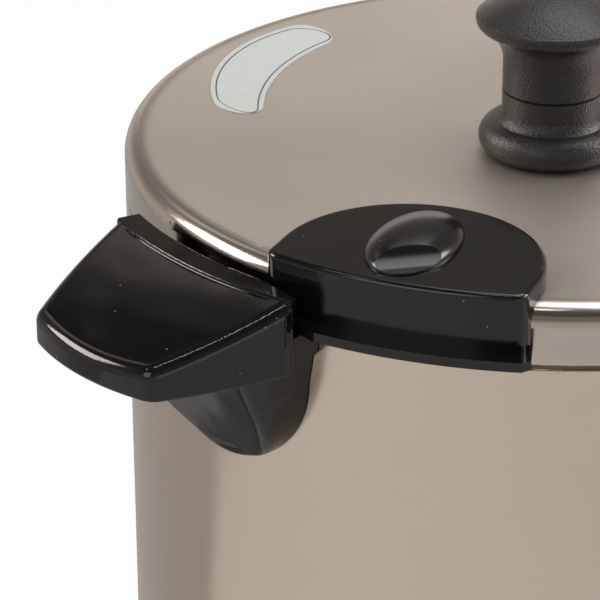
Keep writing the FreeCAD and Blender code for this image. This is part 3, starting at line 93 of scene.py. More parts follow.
# %% Wrap a socket so that it can be added and multiplied
class Flow:
    """A shader socket that takes part in Python arithmetic."""

    def __init__(self, recipe, socket):
        self.recipe = recipe
        self.socket = socket

    def maths(self, operation, *values, clamp=False):
        """The result of a Math node, fed with values in order."""
        settings = {"operation": operation, "use_clamp": clamp}
        return self.recipe.add("ShaderNodeMath", settings, dict(enumerate(values)))

    def __add__(self, other):
        return self.maths("ADD", self, other)

    def __sub__(self, other):
        return self.maths("SUBTRACT", self, other)

    def __mul__(self, other):
        return self.maths("MULTIPLY", self, other)

    def __truediv__(self, other):
        return self.maths("DIVIDE", self, other)

    def __rsub__(self, other):
        return self.maths("SUBTRACT", other, self)

    __radd__ = __add__
    __rmul__ = __mul__

    def root(self):
        """The square root."""
        return self.maths("SQRT", self)

    def size(self):
        """The value without its sign."""
        return self.maths("ABSOLUTE", self)

    def above(self, limit):
        """1 where the value is over a limit."""
        return self.maths("GREATER_THAN", self, limit)

    def below(self, limit):
        """1 where the value is under a limit."""
        return self.maths("LESS_THAN", self, limit)

    def clamped(self):
        """The value held between 0 and 1."""
        return self.maths("ADD", self, 0.0, clamp=True)

    def ramp(self, low, high):
        """0 below low, 1 above high and a straight slope between."""
        return ((self - low) / (high - low)).clamped()


# %% Gather a material's nodes in a recipe
SPECK_CHANCE = 0.82


class Recipe:
    """A material under construction."""

    def __init__(self, name, **shader):
        self.material = bpy.data.materials.new(name)
        self.material.use_nodes = True
        self.tree = self.material.node_tree
        self.tree.nodes.clear()
        self.surface = self.tree.nodes.new("ShaderNodeBsdfPrincipled")
        self.output = self.tree.nodes.new("ShaderNodeOutputMaterial")
        self.tree.links.new(self.surface.outputs[0], self.output.inputs["Surface"])
        for key, value in shader.items():
            self.set(key.replace("_", " ").title().replace("Ior", "IOR"), value)

    def set(self, name, value):
        """Give one socket of the surface a number, a colour or a flow."""
        self.feed(self.surface.inputs[name], value)

    def feed(self, socket, value):
        """Link a flow to a socket, or write a constant into it."""
        if isinstance(value, Flow):
            self.tree.links.new(value.socket, socket)
        elif socket.type == "RGBA" and len(value) == 3:
            socket.default_value = (*value, 1.0)
        else:
            socket.default_value = value

    def add(self, kind, settings=None, sockets=None, out=0):
        """Add a node: its settings first, then what its sockets hold."""
        node = self.tree.nodes.new(kind)
        for name, value in (settings or {}).items():
            setattr(node, name, value)
        for key, value in (sockets or {}).items():
            self.feed(node.inputs[key], value)
        return Flow(self, node.outputs[out])

    def place(self, scale=(1.0, 1.0, 1.0), centre=(0.0, 0.0, 0.0)):
        """Object coordinates, moved to a centre and scaled."""
        spot = self.add("ShaderNodeTexCoord", out="Object")
        moved = self.add("ShaderNodeVectorMath", {"operation": "SUBTRACT"}, {0: spot, 1: centre})
        return self.add("ShaderNodeVectorMath", {"operation": "MULTIPLY"}, {0: moved, 1: scale})

    def noise(self, where, scale, detail=2.0, roughness=0.5):
        """Soft noise between 0 and 1."""
        sockets = {"Vector": where, "Scale": scale, "Detail": detail, "Roughness": roughness}
        return self.add("ShaderNodeTexNoise", {}, sockets)

    def parts(self, vector, kind="ShaderNodeSeparateXYZ"):
        """The three parts of a vector or a colour, each as a flow."""
        node = self.tree.nodes.new(kind)
        self.feed(node.inputs[0], vector)
        return [Flow(self, socket) for socket in node.outputs]

    def axis_reach(self):
        """The distance of the shaded point from the urn's axis."""
        across, deep, _ = self.parts(self.place())
        return (across * across + deep * deep).root()

    def cells(self, where, scale):
        """A grid of cells: the distance to each middle, and a chance value for each cell."""
        cell = self.tree.nodes.new("ShaderNodeTexVoronoi")
        self.feed(cell.inputs["Vector"], where)
        self.feed(cell.inputs["Scale"], scale)
        chance = self.parts(Flow(self, cell.outputs["Color"]), "ShaderNodeSeparateColor")[0]
        return Flow(self, cell.outputs["Distance"]), chance

    def specks(self, where, scale, size):
        """1 on small round specks, 0 elsewhere. Only some cells of the grid hold one."""
        distance, chance = self.cells(where, scale)
        return distance.below(size) * chance.above(SPECK_CHANCE)

    def mix(self, factor, first, second):
        """One colour where the factor is 0 and another where it is 1."""
        sockets = {0: factor, 6: first, 7: second}
        return self.add("ShaderNodeMix", {"data_type": "RGBA"}, sockets, out=2)

    def bump(self, height, strength, distance):
        """A surface normal from a height."""
        sockets = {"Height": height, "Strength": strength, "Distance": distance}
        return self.add("ShaderNodeBump", {}, sockets)

    def done(self):
        """The finished material."""
        print("finish", self.material.name, "with", len(self.tree.nodes), "nodes")
        return self.material


# %% [markdown]
# ## The floor and the light
# The urn stands on a plain pale floor under soft light. The background of the picture is white, so
# the floor and the world add white light for camera rays. They add it for mirror and glass rays
# too, on the floor only a little, because the steel shows the grey that the lit paper sends by
# itself. The lit paper stays in the mix, and with it the shadow of the urn.

# %% Lay the floor
WHITE_SHARE = 0.95
MIRROR_SHARE = 0.05
FLOOR_SIZE = 9.0
FLOOR_DROP = 0.0005

bpy.ops.object.select_all(action="DESELECT")
bpy.ops.mesh.primitive_plane_add(size=FLOOR_SIZE, location=(0.0, 0.0, -FLOOR_DROP))
floor = bpy.context.object
floor.name = "studio_floor"
paper = Recipe("floor_paper", base_color=(0.68, 0.68, 0.67), roughness=0.9)
rays = paper.tree.nodes.new("ShaderNodeLightPath")
seen = Flow(paper, rays.outputs["Is Camera Ray"])
glossy = Flow(paper, rays.outputs["Is Glossy Ray"])
through = Flow(paper, rays.outputs["Is Transmission Ray"])
share = seen * WHITE_SHARE + (glossy + through).clamped() * MIRROR_SHARE
glow = paper.add("ShaderNodeEmission", {}, {"Color": (1.0, 1.0, 1.0), "Strength": 1.0})
both = paper.tree.nodes.new("ShaderNodeMixShader")
paper.feed(both.inputs[0], share)
paper.tree.links.new(paper.surface.outputs[0], both.inputs[1])
paper.tree.links.new(glow.socket, both.inputs[2])
paper.tree.links.new(both.outputs[0], paper.output.inputs["Surface"])
floor.data.materials.append(paper.done())

# %% Set the world: white to the camera and in reflections, softer as light
SOFT_COLOUR = (1.0, 0.985, 0.96, 1.0)
SOFT_STRENGTH = 0.5

world = bpy.data.worlds.new("studio_world")
bpy.context.scene.world = world
world.use_nodes = True
sky = world.node_tree
sky.nodes.clear()
sky_rays = sky.nodes.new("ShaderNodeLightPath")
sky_sum = sky_rays.outputs["Is Camera Ray"]
for kind in ("Is Glossy Ray", "Is Transmission Ray"):
    adding = sky.nodes.new("ShaderNodeMath")
    adding.operation = "ADD"
    adding.use_clamp = True
    sky.links.new(sky_sum, adding.inputs[0])
    sky.links.new(sky_rays.outputs[kind], adding.inputs[1])
    sky_sum = adding.outputs[0]
soft = sky.nodes.new("ShaderNodeBackground")
soft.inputs["Color"].default_value = SOFT_COLOUR
soft.inputs["Strength"].default_value = SOFT_STRENGTH
white = sky.nodes.new("ShaderNodeBackground")
white.inputs["Color"].default_value = (1.0, 1.0, 1.0, 1.0)
white.inputs["Strength"].default_value = 1.0
sky_mix = sky.nodes.new("ShaderNodeMixShader")
sky.links.new(sky_sum, sky_mix.inputs[0])
sky.links.new(soft.outputs[0], sky_mix.inputs[1])
sky.links.new(white.outputs[0], sky_mix.inputs[2])
sky_out = sky.nodes.new("ShaderNodeOutputWorld")
sky.links.new(sky_mix.outputs[0], sky_out.inputs["Surface"])
print("world set")

# %% Hang three soft lamps
def soft_lamp(name, place, aim, size, watts):
    """A square area lamp that looks at a point."""
    lamp = bpy.data.lights.new(name, "AREA")
    lamp.size = size
    lamp.energy = watts
    holder = bpy.data.objects.new(name, lamp)
    holder.location = place
    holder.rotation_euler = (Vector(aim) - Vector(place)).to_track_quat("-Z", "Y").to_euler()
    bpy.context.scene.collection.objects.link(holder)
    return holder


upper_lamp = soft_lamp("lamp_above", (-0.25, 0.35, 2.3), (0.0, 0.0, 0.4), 1.6, 23.0)
upper_lamp.visible_glossy = False  # board_above stands for it in reflections
soft_lamp("lamp_left", (-2.0, -0.4, 1.3), (0.0, 0.0, 0.35), 1.2, 9.0)
soft_lamp("lamp_right", (1.4, -1.9, 1.2), (0.0, 0.0, 0.3), 1.3, 8.0)
print("lamps", [light.name for light in bpy.data.lights])

# %% [markdown]
# ## The grey room and its light strips
# Black plastic and steel have hardly any look of their own: they look as their surroundings do. A
# photographer shapes that with boards that stand outside the picture. Here a round grey wall and a
# dark ceiling stand for the room, grey and white boards for what is near, and narrow strips for
# the thin bright lines along the rounded edges. Two bright boards at the sides give the grainy
# knob its sheen. Only mirror rays see all of these. They light nothing.

# %% Make a board that only reflections show
URN_TOP = Vector((0.0, 0.0, 0.4))


def only_mirrored(board, name, colour, strength):
    """Give a board a glow that is seen by mirror rays alone."""
    finish = Recipe(name + "_board", roughness=1.0)
    amount = strength(finish) if callable(strength) else strength
    lit = finish.add("ShaderNodeEmission", {}, {"Color": colour, "Strength": amount})
    finish.tree.links.new(lit.socket, finish.output.inputs["Surface"])
    board.name = name
    board.data.materials.append(finish.done())
    for kind in ("camera", "diffuse", "transmission", "shadow", "volume_scatter"):
        setattr(board, "visible_" + kind, False)


def reflection_card(name, centre, width, height, strength, tint=(1.0, 1.0, 1.0)):
    """A flat board that faces the top of the urn."""
    bpy.ops.object.select_all(action="DESELECT")
    look = (URN_TOP - Vector(centre)).to_track_quat("Z", "Y").to_euler()
    bpy.ops.mesh.primitive_plane_add(size=1.0, location=centre, rotation=look)
    card = bpy.context.object
    card.scale = (width, height, 1.0)
    only_mirrored(card, name, tint, strength)


# %% Build the room
WARM = (1.0, 0.92, 0.84)
ROOM_RADIUS = 2.7
ROOM_HEIGHT = 2.6
ROOM_SIDES = 96
LOW_GREY = 0.60
HIGH_GREY = 0.24
GREY_BAND = (0.4, 1.3)
CEILING_SIZE = 5.6
CEILING_GREY = 0.10


def wall_grey(finish):
    """Paler near the floor, darker towards the ceiling."""
    high = finish.parts(finish.place())[2]
    return LOW_GREY + (high + ROOM_HEIGHT / 2).ramp(*GREY_BAND) * (HIGH_GREY - LOW_GREY)


bpy.ops.object.select_all(action="DESELECT")
bpy.ops.mesh.primitive_cylinder_add(
    vertices=ROOM_SIDES, radius=ROOM_RADIUS, depth=ROOM_HEIGHT, end_fill_type="NOTHING",
    location=(0.0, 0.0, ROOM_HEIGHT / 2))
only_mirrored(bpy.context.object, "room_wall", WARM, wall_grey)
reflection_card(
    "room_ceiling", (0.0, 0.0, ROOM_HEIGHT), CEILING_SIZE, CEILING_SIZE, CEILING_GREY, WARM)

# %% Stand up the boards and strips
STRIP_WIDTH = 0.035
STRIP_GLOW = 26.0
SIDE_GLOW = 12.0
PALE_BAND = (-0.13, -0.205)
DIM_BAND = (-0.05, -0.09)
FAR_BAND = (-0.035, -0.025)


def wing_shades(finish):
    """Pale, then dim, then a dark line and a little grey: what the wing of the handle mirrors."""
    across = finish.parts(finish.place())[0]
    pale = across.ramp(*PALE_BAND) * 0.70 + across.ramp(*DIM_BAND) * 0.20
    return pale + across.ramp(*FAR_BAND) * 0.05 + 0.01


reflection_card("board_above", (0.73, 0.0, 2.38), 2.0, 1.42, 3.3)
reflection_card("board_back", (1.05, 1.20, 2.10), 1.5, 0.50, 0.8, WARM)
reflection_card("board_low_back", (1.48, 1.62, 0.74), 1.7, 0.42, 0.95, WARM)
reflection_card("board_front", (-0.35, -1.85, 0.36), 1.3, 0.66, 1.25)
reflection_card("board_wing", (0.45, 1.64, 2.04), 1.3, 0.8, wing_shades, WARM)
reflection_card("board_side_left", (-1.14, 1.41, 1.25), 0.9, 0.7, SIDE_GLOW, WARM)
reflection_card("board_side_right", (1.55, -0.94, 1.25), 0.9, 0.7, SIDE_GLOW, WARM)
reflection_card("strip_left", (-1.06, 0.47, 2.08), 0.45, STRIP_WIDTH, STRIP_GLOW)
reflection_card("strip_behind", (-1.05, 1.36, 1.60), 0.45, STRIP_WIDTH, STRIP_GLOW)
reflection_card("strip_wing", (-0.44, -0.20, 2.30), 0.45, STRIP_WIDTH, STRIP_GLOW)
reflection_card("strip_right", (1.38, -0.44, 1.90), 0.6, STRIP_WIDTH, STRIP_GLOW)

# %% Lay grey sheets on the floor round the urn, painted shade that only reflections show
SHADE_SHEET_TINT = (1.0, 0.97, 0.93)
SHEET_LIFT = 0.0010


def shade_sheet(name, left, right, near, far, strength, lift=SHEET_LIFT):
    """A sheet of painted shade on the floor, seen only in reflections. Its near edge runs between
    two points, its far edge is straight.
    """
    bpy.ops.object.select_all(action="DESELECT")
    bpy.ops.mesh.primitive_plane_add(size=1.0, location=(0.0, 0.0, 0.0))
    sheet = bpy.context.object
    corners = ((left, near[0]), (right, near[1]), (left, far), (right, far))
    for vertex, (across, deep) in zip(sheet.data.vertices, corners):
        vertex.co = (across, deep, lift)
    only_mirrored(sheet, name, SHADE_SHEET_TINT, strength)


# Painted shade: darker sheets behind and beside the urn, and the darkest at its foot, stand for the
# floor where the urn's shadow falls.
shade_sheet("sheet_left", -1.6, -0.57, (0.42, 0.52), 1.6, 0.38)
shade_sheet("sheet_middle", -0.57, -0.12, (0.58, 0.22), 1.6, 0.43)
shade_sheet("sheet_right", -0.12, 1.4, (0.22, 0.20), 1.6, 0.43)
shade_sheet("sheet_near", -0.32, 0.12, (0.13, 0.13), 0.34, 0.19, SHEET_LIFT * 1.5)

# %% [markdown]
# ## Stainless steel
# The tank and the lid are thin polished steel. Close up, such steel keeps faint lines from the
# polishing wheel, which run round the tank, and a slightly uneven gloss. The lines are noise that
# is stretched around the axis: the polar angle changes it slowly, the height and the radius fast.
# The lid's face is hazy with use, while its rim and skirt, inside a narrow band of radii, keep
# their gloss.

# %% Mix the steel
RIM_BAND = (0.122, 0.129)
ROUND_SCALE = 3.0
LINE_SCALE = 2600.0
LINE_HEIGHT = 0.00003
CLOUD_SCALE = 9.0
PIT_SCALE = 1500.0


def polar_place(recipe):
    """Coordinates that follow a turned surface: angle, radius and height."""
    across, deep, high = recipe.parts(recipe.place())
    angle = across.maths("ARCTAN2", across, deep * -1.0)
    radius = recipe.axis_reach()
    sockets = {0: angle * ROUND_SCALE, 1: radius * LINE_SCALE, 2: high * LINE_SCALE}
    return recipe.add("ShaderNodeCombineXYZ", {}, sockets)


def steel(name, colour, roughness, haze=0.0, rim_polish=0.0):
    """Polished steel: fine lines round its axis, smears in its gloss, haze and a bright rim."""
    recipe = Recipe(name)
    lines = recipe.noise(polar_place(recipe), 1.0, 3.0, 0.6)
    clouds = recipe.noise(recipe.place(), CLOUD_SCALE, 3.0, 0.55)
    pits = recipe.noise(recipe.place(), PIT_SCALE, 1.0, 0.5)
    pale = tuple(min(1.0, value * 1.06) for value in colour)
    dark = tuple(value * 0.95 for value in colour)
    tone = (lines * 0.45 + clouds * 0.55).ramp(0.3, 0.7)
    recipe.set("Base Color", recipe.mix(tone, dark, pale))
    rim = recipe.axis_reach().ramp(*RIM_BAND)
    uneven = (clouds - 0.5) * 0.10 + (lines - 0.5) * 0.06
    recipe.set("Metallic", 1.0 - clouds * 2.0 * haze * (1.0 - rim))
    recipe.set("Roughness", roughness + uneven - rim * rim_polish)
    recipe.set("Normal", recipe.bump(lines * 0.7 + pits * 0.3, 0.18, LINE_HEIGHT))
    return recipe.done()


lid_steel = steel("lid_steel", (0.492, 0.438, 0.396), 0.45, 0.12, 0.31)
tank_steel = steel("tank_steel", (0.61, 0.51, 0.43), 0.17)

# %% [markdown]
# ## Black plastics
# The handles and the lid blocks are glossy moulded plastic. Plastic shrinks as it cools, so a
# large moulded face is never quite flat: slow waves bend what it mirrors. On top lie fine dust
# and, on the knob, the grain of a moulded resin. The waves and the grain are two noises of
# different sizes that feed one bump, and the dust is a sparse set of round specks.

# %% Mix the moulded black plastics
WAVE_SCALE = 22.0
GRAIN_SCALE = 1400.0
SMEAR_SCALE = 35.0
DUST_SCALE = 260.0
DUST_SIZE = 0.055
MILLIMETRE = 0.001


def black_plastic(name, colour, roughness, wave, grain, dust, shape=None):
    """Moulded black plastic: slow waves, fine grain, specks of dust and any form of its own."""
    recipe = Recipe(name, ior=1.46)
    waves = recipe.noise(recipe.place(), WAVE_SCALE, 2.0, 0.5)
    fine = recipe.noise(recipe.place(), GRAIN_SCALE, 2.0, 0.6)
    smear = recipe.noise(recipe.place(), SMEAR_SCALE, 4.0, 0.65)
    specks = recipe.specks(recipe.place(), DUST_SCALE, DUST_SIZE) * dust
    pale = tuple(value + 0.25 for value in colour)
    dark = tuple(value * 0.8 for value in colour)
    light = tuple(value * 1.25 for value in colour)
    recipe.set("Base Color", recipe.mix(specks, recipe.mix(smear, dark, light), pale))
    recipe.set("Roughness", roughness + smear.ramp(0.35, 0.75) * 0.06 + specks * 0.3)
    height = waves * wave + fine * grain
    if shape is not None:
        height = height + shape(recipe)
    recipe.set("Normal", recipe.bump(height, 1.0, MILLIMETRE))
    return recipe.done()


# %% Give the handles their sunk wings and the two grooves along their rails
WING_MIDDLE = 0.165
WING_SINK = 1600.0
RAIL_GROOVES = (0.4129, 0.4117)
GROOVE_HALF = 0.00022
GROOVE_DEPTH = 0.18
RAIL_SIDE = (-0.0208, -0.0212)


def handle_form(recipe):
    """Millimetres of height: a slight sink in the wing, and grooves on the rail's outer side."""
    high = recipe.parts(recipe.place())[2]
    outward = recipe.axis_reach() - WING_MIDDLE
    on_rail = outward.ramp(*RAIL_SIDE)
    form = outward * outward * WING_SINK
    for groove in RAIL_GROOVES:
        cut = 1.0 - (high - groove).size().ramp(0.0, GROOVE_HALF)
        form = form - cut * on_rail * GROOVE_DEPTH
    return form


handle_black = black_plastic(
    "handle_black", (0.005, 0.0044, 0.004), 0.08, 0.9, 0.004, 1.0, handle_form)
block_black = black_plastic("block_black", (0.0035, 0.003, 0.0026), 0.12, 0.25, 0.006, 1.0)
dome_black = black_plastic("dome_black", (0.007, 0.0066, 0.006), 0.19, 0.25, 0.003, 0.8)
knob_black = black_plastic("knob_black", (0.019, 0.0182, 0.0174), 0.18, 0.2, 0.30, 1.0)
base_black = black_plastic("base_black", (0.018, 0.018, 0.018), 0.34, 0.2, 0.05, 0.3)
fitting_black = black_plastic("fitting_black", (0.014, 0.014, 0.014), 0.26, 0.25, 0.03, 0.3)

# %% [markdown]
# ## The sticker on the lid
# A plain grey kidney-shaped sticker lies on the lid, with a thin dark line just inside its edge.
# The line follows the outline, so it can be worked out from the distance to it. The outline is two
# arcs and two straight ends. Each gives a distance, and the corner rounding joins them in one
# formula.

# %% Print the sticker's border from the distance to its edge
TANK_RADIUS = 0.130
STICKER_TURN = math.radians(-46.3)
STICKER_OUTER = (Vector((-0.3492, 0.2677)) * TANK_RADIUS, 0.4815 * TANK_RADIUS)
STICKER_INNER = (Vector((-0.1100, 0.1938)) * TANK_RADIUS, 0.5846 * TANK_RADIUS)
STICKER_ENDS = ((200.5, 192.5), (127.0, 135.0))
STICKER_MIDDLE = 163.0
STICKER_ROUND = 0.007
BORDER_INSET = 0.0017
BORDER_HALF = 0.00023
PAPER_SCALE = 260.0


def turned_about_axis(spot):
    """A point of the flat sticker plan, turned to its place on the lid."""
    return Matrix.Rotation(STICKER_TURN, 2) @ spot


def on_circle(circle, degrees):
    """The point of a circle at an angle."""
    angle = math.radians(degrees)
    return circle[0] + circle[1] * Vector((math.cos(angle), math.sin(angle)))


film = Recipe("sticker_film", ior=1.45)
film_x, film_y, _ = film.parts(film.place())


def reach_from(centre):
    """Distance of the shaded point from a point of the plan."""
    aside = film_x - centre.x
    along = film_y - centre.y
    return (aside * aside + along * along).root()


depths = [
    STICKER_OUTER[1] - reach_from(turned_about_axis(STICKER_OUTER[0])),
    reach_from(turned_about_axis(STICKER_INNER[0])) - STICKER_INNER[1],
]
middle = turned_about_axis(on_circle(STICKER_OUTER, STICKER_MIDDLE))
for outer_degrees, inner_degrees in STICKER_ENDS:
    start = turned_about_axis(on_circle(STICKER_OUTER, outer_degrees))
    end = turned_about_axis(on_circle(STICKER_INNER, inner_degrees))
    along = (end - start).normalized()
    inward = Vector((-along.y, along.x))
    if inward.dot(middle - start) < 0:
        inward = -inward
    depths.append((film_x - start.x) * inward.x + (film_y - start.y) * inward.y)
corner = 0.0
for depth in depths:
    missing = STICKER_ROUND - depth
    short = missing.maths("MAXIMUM", missing, 0.0)
    corner = short * short + corner
inside = STICKER_ROUND - corner.root()
line = 1.0 - (inside - BORDER_INSET).size().ramp(BORDER_HALF * 0.7, BORDER_HALF * 1.3)
mottle = film.noise(film.place(), PAPER_SCALE, 3.0, 0.6)
paper_grey = film.mix(mottle, (0.53, 0.545, 0.53), (0.60, 0.615, 0.60))
film.set("Base Color", film.mix(line, paper_grey, (0.055, 0.060, 0.058)))
film.set("Roughness", 0.34 + mottle * 0.12)
film.set("Normal", film.bump(mottle, 0.25, 0.0002))
sticker_film = film.done()

# %% [markdown]
# ## The small finishes
# The rest is what such an urn is built from: zinc plated screws, a chrome tap with a brass nut,
# soft silicone seals, a rubber foot, a satin metal panel, and coloured lamps and switch. Each gets
# the wear or grain of its own making, at its own scale.

# %% Mix the metals of the fittings
SMUDGE_SCALE = 60.0


def plated(name, colour, roughness, cell, spread):
    """Plated or cast metal: patches of slightly different tone and gloss."""
    recipe = Recipe(name, metallic=1.0)
    tone = recipe.cells(recipe.place(), cell)[1]
    smudge = recipe.noise(recipe.place(), SMUDGE_SCALE, 4.0, 0.6)
    deep = tuple(value * (1.0 - spread) for value in colour)
    recipe.set("Base Color", recipe.mix(tone * 0.5 + smudge * 0.5, deep, colour))
    recipe.set("Roughness", roughness + smudge.ramp(0.3, 0.7) * 0.10)
    recipe.set("Normal", recipe.bump(smudge, 0.1, 0.0002))
    return recipe.done()


zinc = plated("zinc_plate", (0.58, 0.59, 0.58), 0.34, 900.0, 0.25)
chrome = plated("chrome_plate", (0.72, 0.71, 0.70), 0.06, 60.0, 0.06)
brass = plated("turned_brass", (0.62, 0.45, 0.20), 0.28, 500.0, 0.15)
element_steel = plated("element_steel", (0.28, 0.25, 0.22), 0.42, 300.0, 0.35)

# %% Mix rubber, silicone and plain plastics
MOTTLE_SCALE = 45.0


def soft_stuff(name, colour, roughness, grain, height):
    """A mostly even material with fine grain and a soft mottling."""
    recipe = Recipe(name, ior=1.45)
    mottle = recipe.noise(recipe.place(), MOTTLE_SCALE, 4.0, 0.6)
    fine = recipe.noise(recipe.place(), grain, 2.0, 0.6)
    pale = tuple(min(1.0, value * 1.18 + 0.004) for value in colour)
    deep = tuple(value * 0.85 for value in colour)
    recipe.set("Base Color", recipe.mix(mottle * 0.6 + fine * 0.4, deep, pale))
    recipe.set("Roughness", roughness + (fine - 0.5) * 0.14)
    recipe.set("Normal", recipe.bump(fine, 0.5, height))
    return recipe.done()


foot_rubber = soft_stuff("foot_rubber", (0.022, 0.022, 0.022), 0.72, 900.0, 0.0003)
seal_silicone = soft_stuff("seal_silicone", (0.62, 0.60, 0.55), 0.45, 700.0, 0.0001)
case_plastic = soft_stuff("case_plastic", (0.020, 0.020, 0.021), 0.48, 1500.0, 0.0002)
rocker_red = soft_stuff("rocker_red", (0.46, 0.020, 0.014), 0.18, 900.0, 0.00003)

# %% [markdown]
# ## The control panel
# The panel is a satin metal plate. Its brushing runs sideways, so the noise is stretched along X.
# A scale for the dial is printed round it: short ticks every 27 degrees, with the bottom left
# free.

# %% Brush the panel and print its scale
DIAL_CENTRE = (0.0, 0.0, 0.048)
TICK_INNER = 0.0208
TICK_OUTER = 0.0243
TICK_STEP = 27.0
TICK_HALF = 0.045  # as a share of one step
SCALE_REACH = 136.0
BRUSH_SCALE = (60.0, 3000.0, 3000.0)

plate = Recipe("panel_satin", metallic=1.0)
brushed = plate.noise(plate.place(BRUSH_SCALE), 1.0, 3.0, 0.6)
plate_x, _, plate_z = plate.parts(plate.place(centre=DIAL_CENTRE))
from_dial = (plate_x * plate_x + plate_z * plate_z).root()
degrees = plate_x.maths("ARCTAN2", plate_x, plate_z) * (180.0 / math.pi)
steps = degrees / TICK_STEP
off_tick = (steps - steps.maths("ROUND", steps)).size()
thin = off_tick.below(TICK_HALF) * degrees.size().below(SCALE_REACH)
tick = thin * from_dial.above(TICK_INNER) * from_dial.below(TICK_OUTER)
bright = plate.mix(brushed, (0.55, 0.55, 0.545), (0.68, 0.68, 0.67))
plate.set("Base Color", plate.mix(tick, bright, (0.02, 0.02, 0.02)))
plate.set("Metallic", 1.0 - tick)
plate.set("Roughness", 0.30 + (brushed - 0.5) * 0.15 + tick * 0.1)
plate.set("Normal", plate.bump(brushed, 0.3, 0.00004))
panel_satin = plate.done()

# %% Tint the lamps
RING_SCALE = 7000.0
TINT_SCALE = 300.0


def lamp_plastic(name, colour, box):
    """Clear coloured plastic with moulded rings round the middle of a box."""
    recipe = Recipe(name, roughness=0.12, ior=1.49, transmission_weight=0.35)
    across, _, high = recipe.parts(recipe.place(centre=(box[0] + box[1]) / 2))
    reach = (across * across + high * high).root()
    rings = reach.maths("SINE", reach * RING_SCALE)
    cloud = recipe.noise(recipe.place(), TINT_SCALE, 2.0, 0.5)
    deep = tuple(value * 0.7 for value in colour)
    recipe.set("Base Color", recipe.mix(cloud, deep, colour))
    recipe.set("Normal", recipe.bump(rings, 0.4, 0.0002))
    return recipe.done()


lamp_amber = lamp_plastic("lamp_amber", (0.85, 0.36, 0.04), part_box("lamp_left"))
lamp_green = lamp_plastic("lamp_green", (0.07, 0.50, 0.13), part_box("lamp_right"))

# %% Give every node its finish
SLOT_FINISH = {
    "steel": tank_steel,
    "black_plastic": fitting_black,
    "gloss_black": dome_black,
    "phenolic": knob_black,
    "sticker": sticker_film,
    "rubber": foot_rubber,
    "silicone": seal_silicone,
    "zinc": zinc,
    "chrome": chrome,
    "brass": brass,
    "panel": panel_satin,
    "dark_plastic": case_plastic,
    "lamp_amber": lamp_amber,
    "lamp_green": lamp_green,
    "rocker_red": rocker_red,
    "element": element_steel,
}
NODE_FINISH = {
    "lid_shell": lid_steel,
    "left_handle": handle_black,
    "right_handle": handle_black,
    "left_lid_block": block_black,
    "right_lid_block": block_black,
    "base_housing": base_black,
}
for subpart in frame["record"]["subparts"]:
    name = subpart["node"]
    finish = NODE_FINISH.get(name, SLOT_FINISH[subpart["material_slot"]])
    slots = frame["nodes"][name].data.materials
    slots.clear()
    slots.append(finish)

# %% [markdown]
# ## Small parts on the control panel
# The panel is held by three slotted screws, and a turned ring frames each lamp. Both are small
# parts that sit on the panel's face. A screw head starts as a short cylinder. Two cuts across its
# face mark the slot, and the strip between them is pushed in. A ring starts as an open cylinder
# that is given a wall. One function models a head and another a ring, and each runs once for every
# place.

# %% Model one slotted screw head
PANEL_FACE = -0.121
HEAD_RADIUS = 0.0021
HEAD_HEIGHT = 0.0011
HEAD_SIDES = 32
SLOT_HALF = 0.00032
SLOT_DEPTH = 0.0005
HEAD_EDGE = 0.00018
FRONT_FACING = -0.9
LAID_FORWARD = (math.pi / 2, 0.0, 0.0)
SMOOTH_ANGLE = math.radians(35)
MERGE_REACH = 0.000001


def edit_all():
    """Enter edit mode with the whole mesh selected."""
    bpy.ops.object.mode_set(mode="EDIT")
    bpy.ops.mesh.select_all(action="SELECT")


def round_edges(piece, width, segments, angle=30.0):
    """Round every edge that turns by more than an angle."""
    rounding = piece.modifiers.new("round_edges", "BEVEL")
    rounding.width = width
    rounding.segments = segments
    rounding.limit_method = "ANGLE"
    rounding.angle_limit = math.radians(angle)
    bpy.ops.object.modifier_apply(modifier=rounding.name)


def settle(piece, name, body, finish):
    """Give a finished part its name, place, body and finish."""
    piece.name = name
    bpy.ops.object.transform_apply(location=True, rotation=True, scale=True)
    bpy.ops.object.shade_smooth_by_angle(angle=SMOOTH_ANGLE)
    piece.data.materials.clear()
    piece.data.materials.append(finish)
    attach(piece, body)
    print(name, len(piece.data.polygons), "faces")


def model_screw_head(across, high):
    """A slotted head on the panel's face."""
    bpy.ops.object.select_all(action="DESELECT")
    bpy.ops.mesh.primitive_cylinder_add(
        vertices=HEAD_SIDES, radius=HEAD_RADIUS, depth=HEAD_HEIGHT, rotation=LAID_FORWARD,
        location=(across, PANEL_FACE - HEAD_HEIGHT / 2, high))
    head = bpy.context.object
    bpy.ops.object.transform_apply(location=True, rotation=True, scale=True)
    bpy.ops.object.mode_set(mode="EDIT")
    for side in (-SLOT_HALF, SLOT_HALF):
        bpy.ops.mesh.select_all(action="SELECT")
        bpy.ops.mesh.bisect(plane_co=(across, PANEL_FACE, high + side), plane_no=(0.0, 0.0, 1.0))
    bpy.ops.mesh.select_all(action="DESELECT")
    bpy.ops.mesh.select_mode(type="FACE")
    bpy.ops.object.mode_set(mode="OBJECT")
    for face in head.data.polygons:
        in_slot = abs(face.center.z - high) < SLOT_HALF
        face.select = face.normal.y < FRONT_FACING and in_slot
    bpy.ops.object.mode_set(mode="EDIT")
    bpy.ops.mesh.extrude_region_move(TRANSFORM_OT_translate={"value": (0.0, SLOT_DEPTH, 0.0)})
    bpy.ops.mesh.select_all(action="SELECT")
    bpy.ops.mesh.remove_doubles(threshold=MERGE_REACH)
    bpy.ops.mesh.normals_make_consistent(inside=False)
    bpy.ops.object.mode_set(mode="OBJECT")
    round_edges(head, HEAD_EDGE, 2)
    return head


SCREW_PLACES = ((-0.040, 0.075), (0.040, 0.075), (-0.040, 0.021))
for number, (across, high) in enumerate(SCREW_PLACES, start=1):
    settle(model_screw_head(across, high), f"panel_screw_{number}", "urn", zinc)

# %% Model the ring round a lamp
RING_WALL = 0.0011
RING_HEIGHT = 0.0014
RING_EDGE = 0.0004
RING_SIDES = 48
LENS_GAP = 0.0001


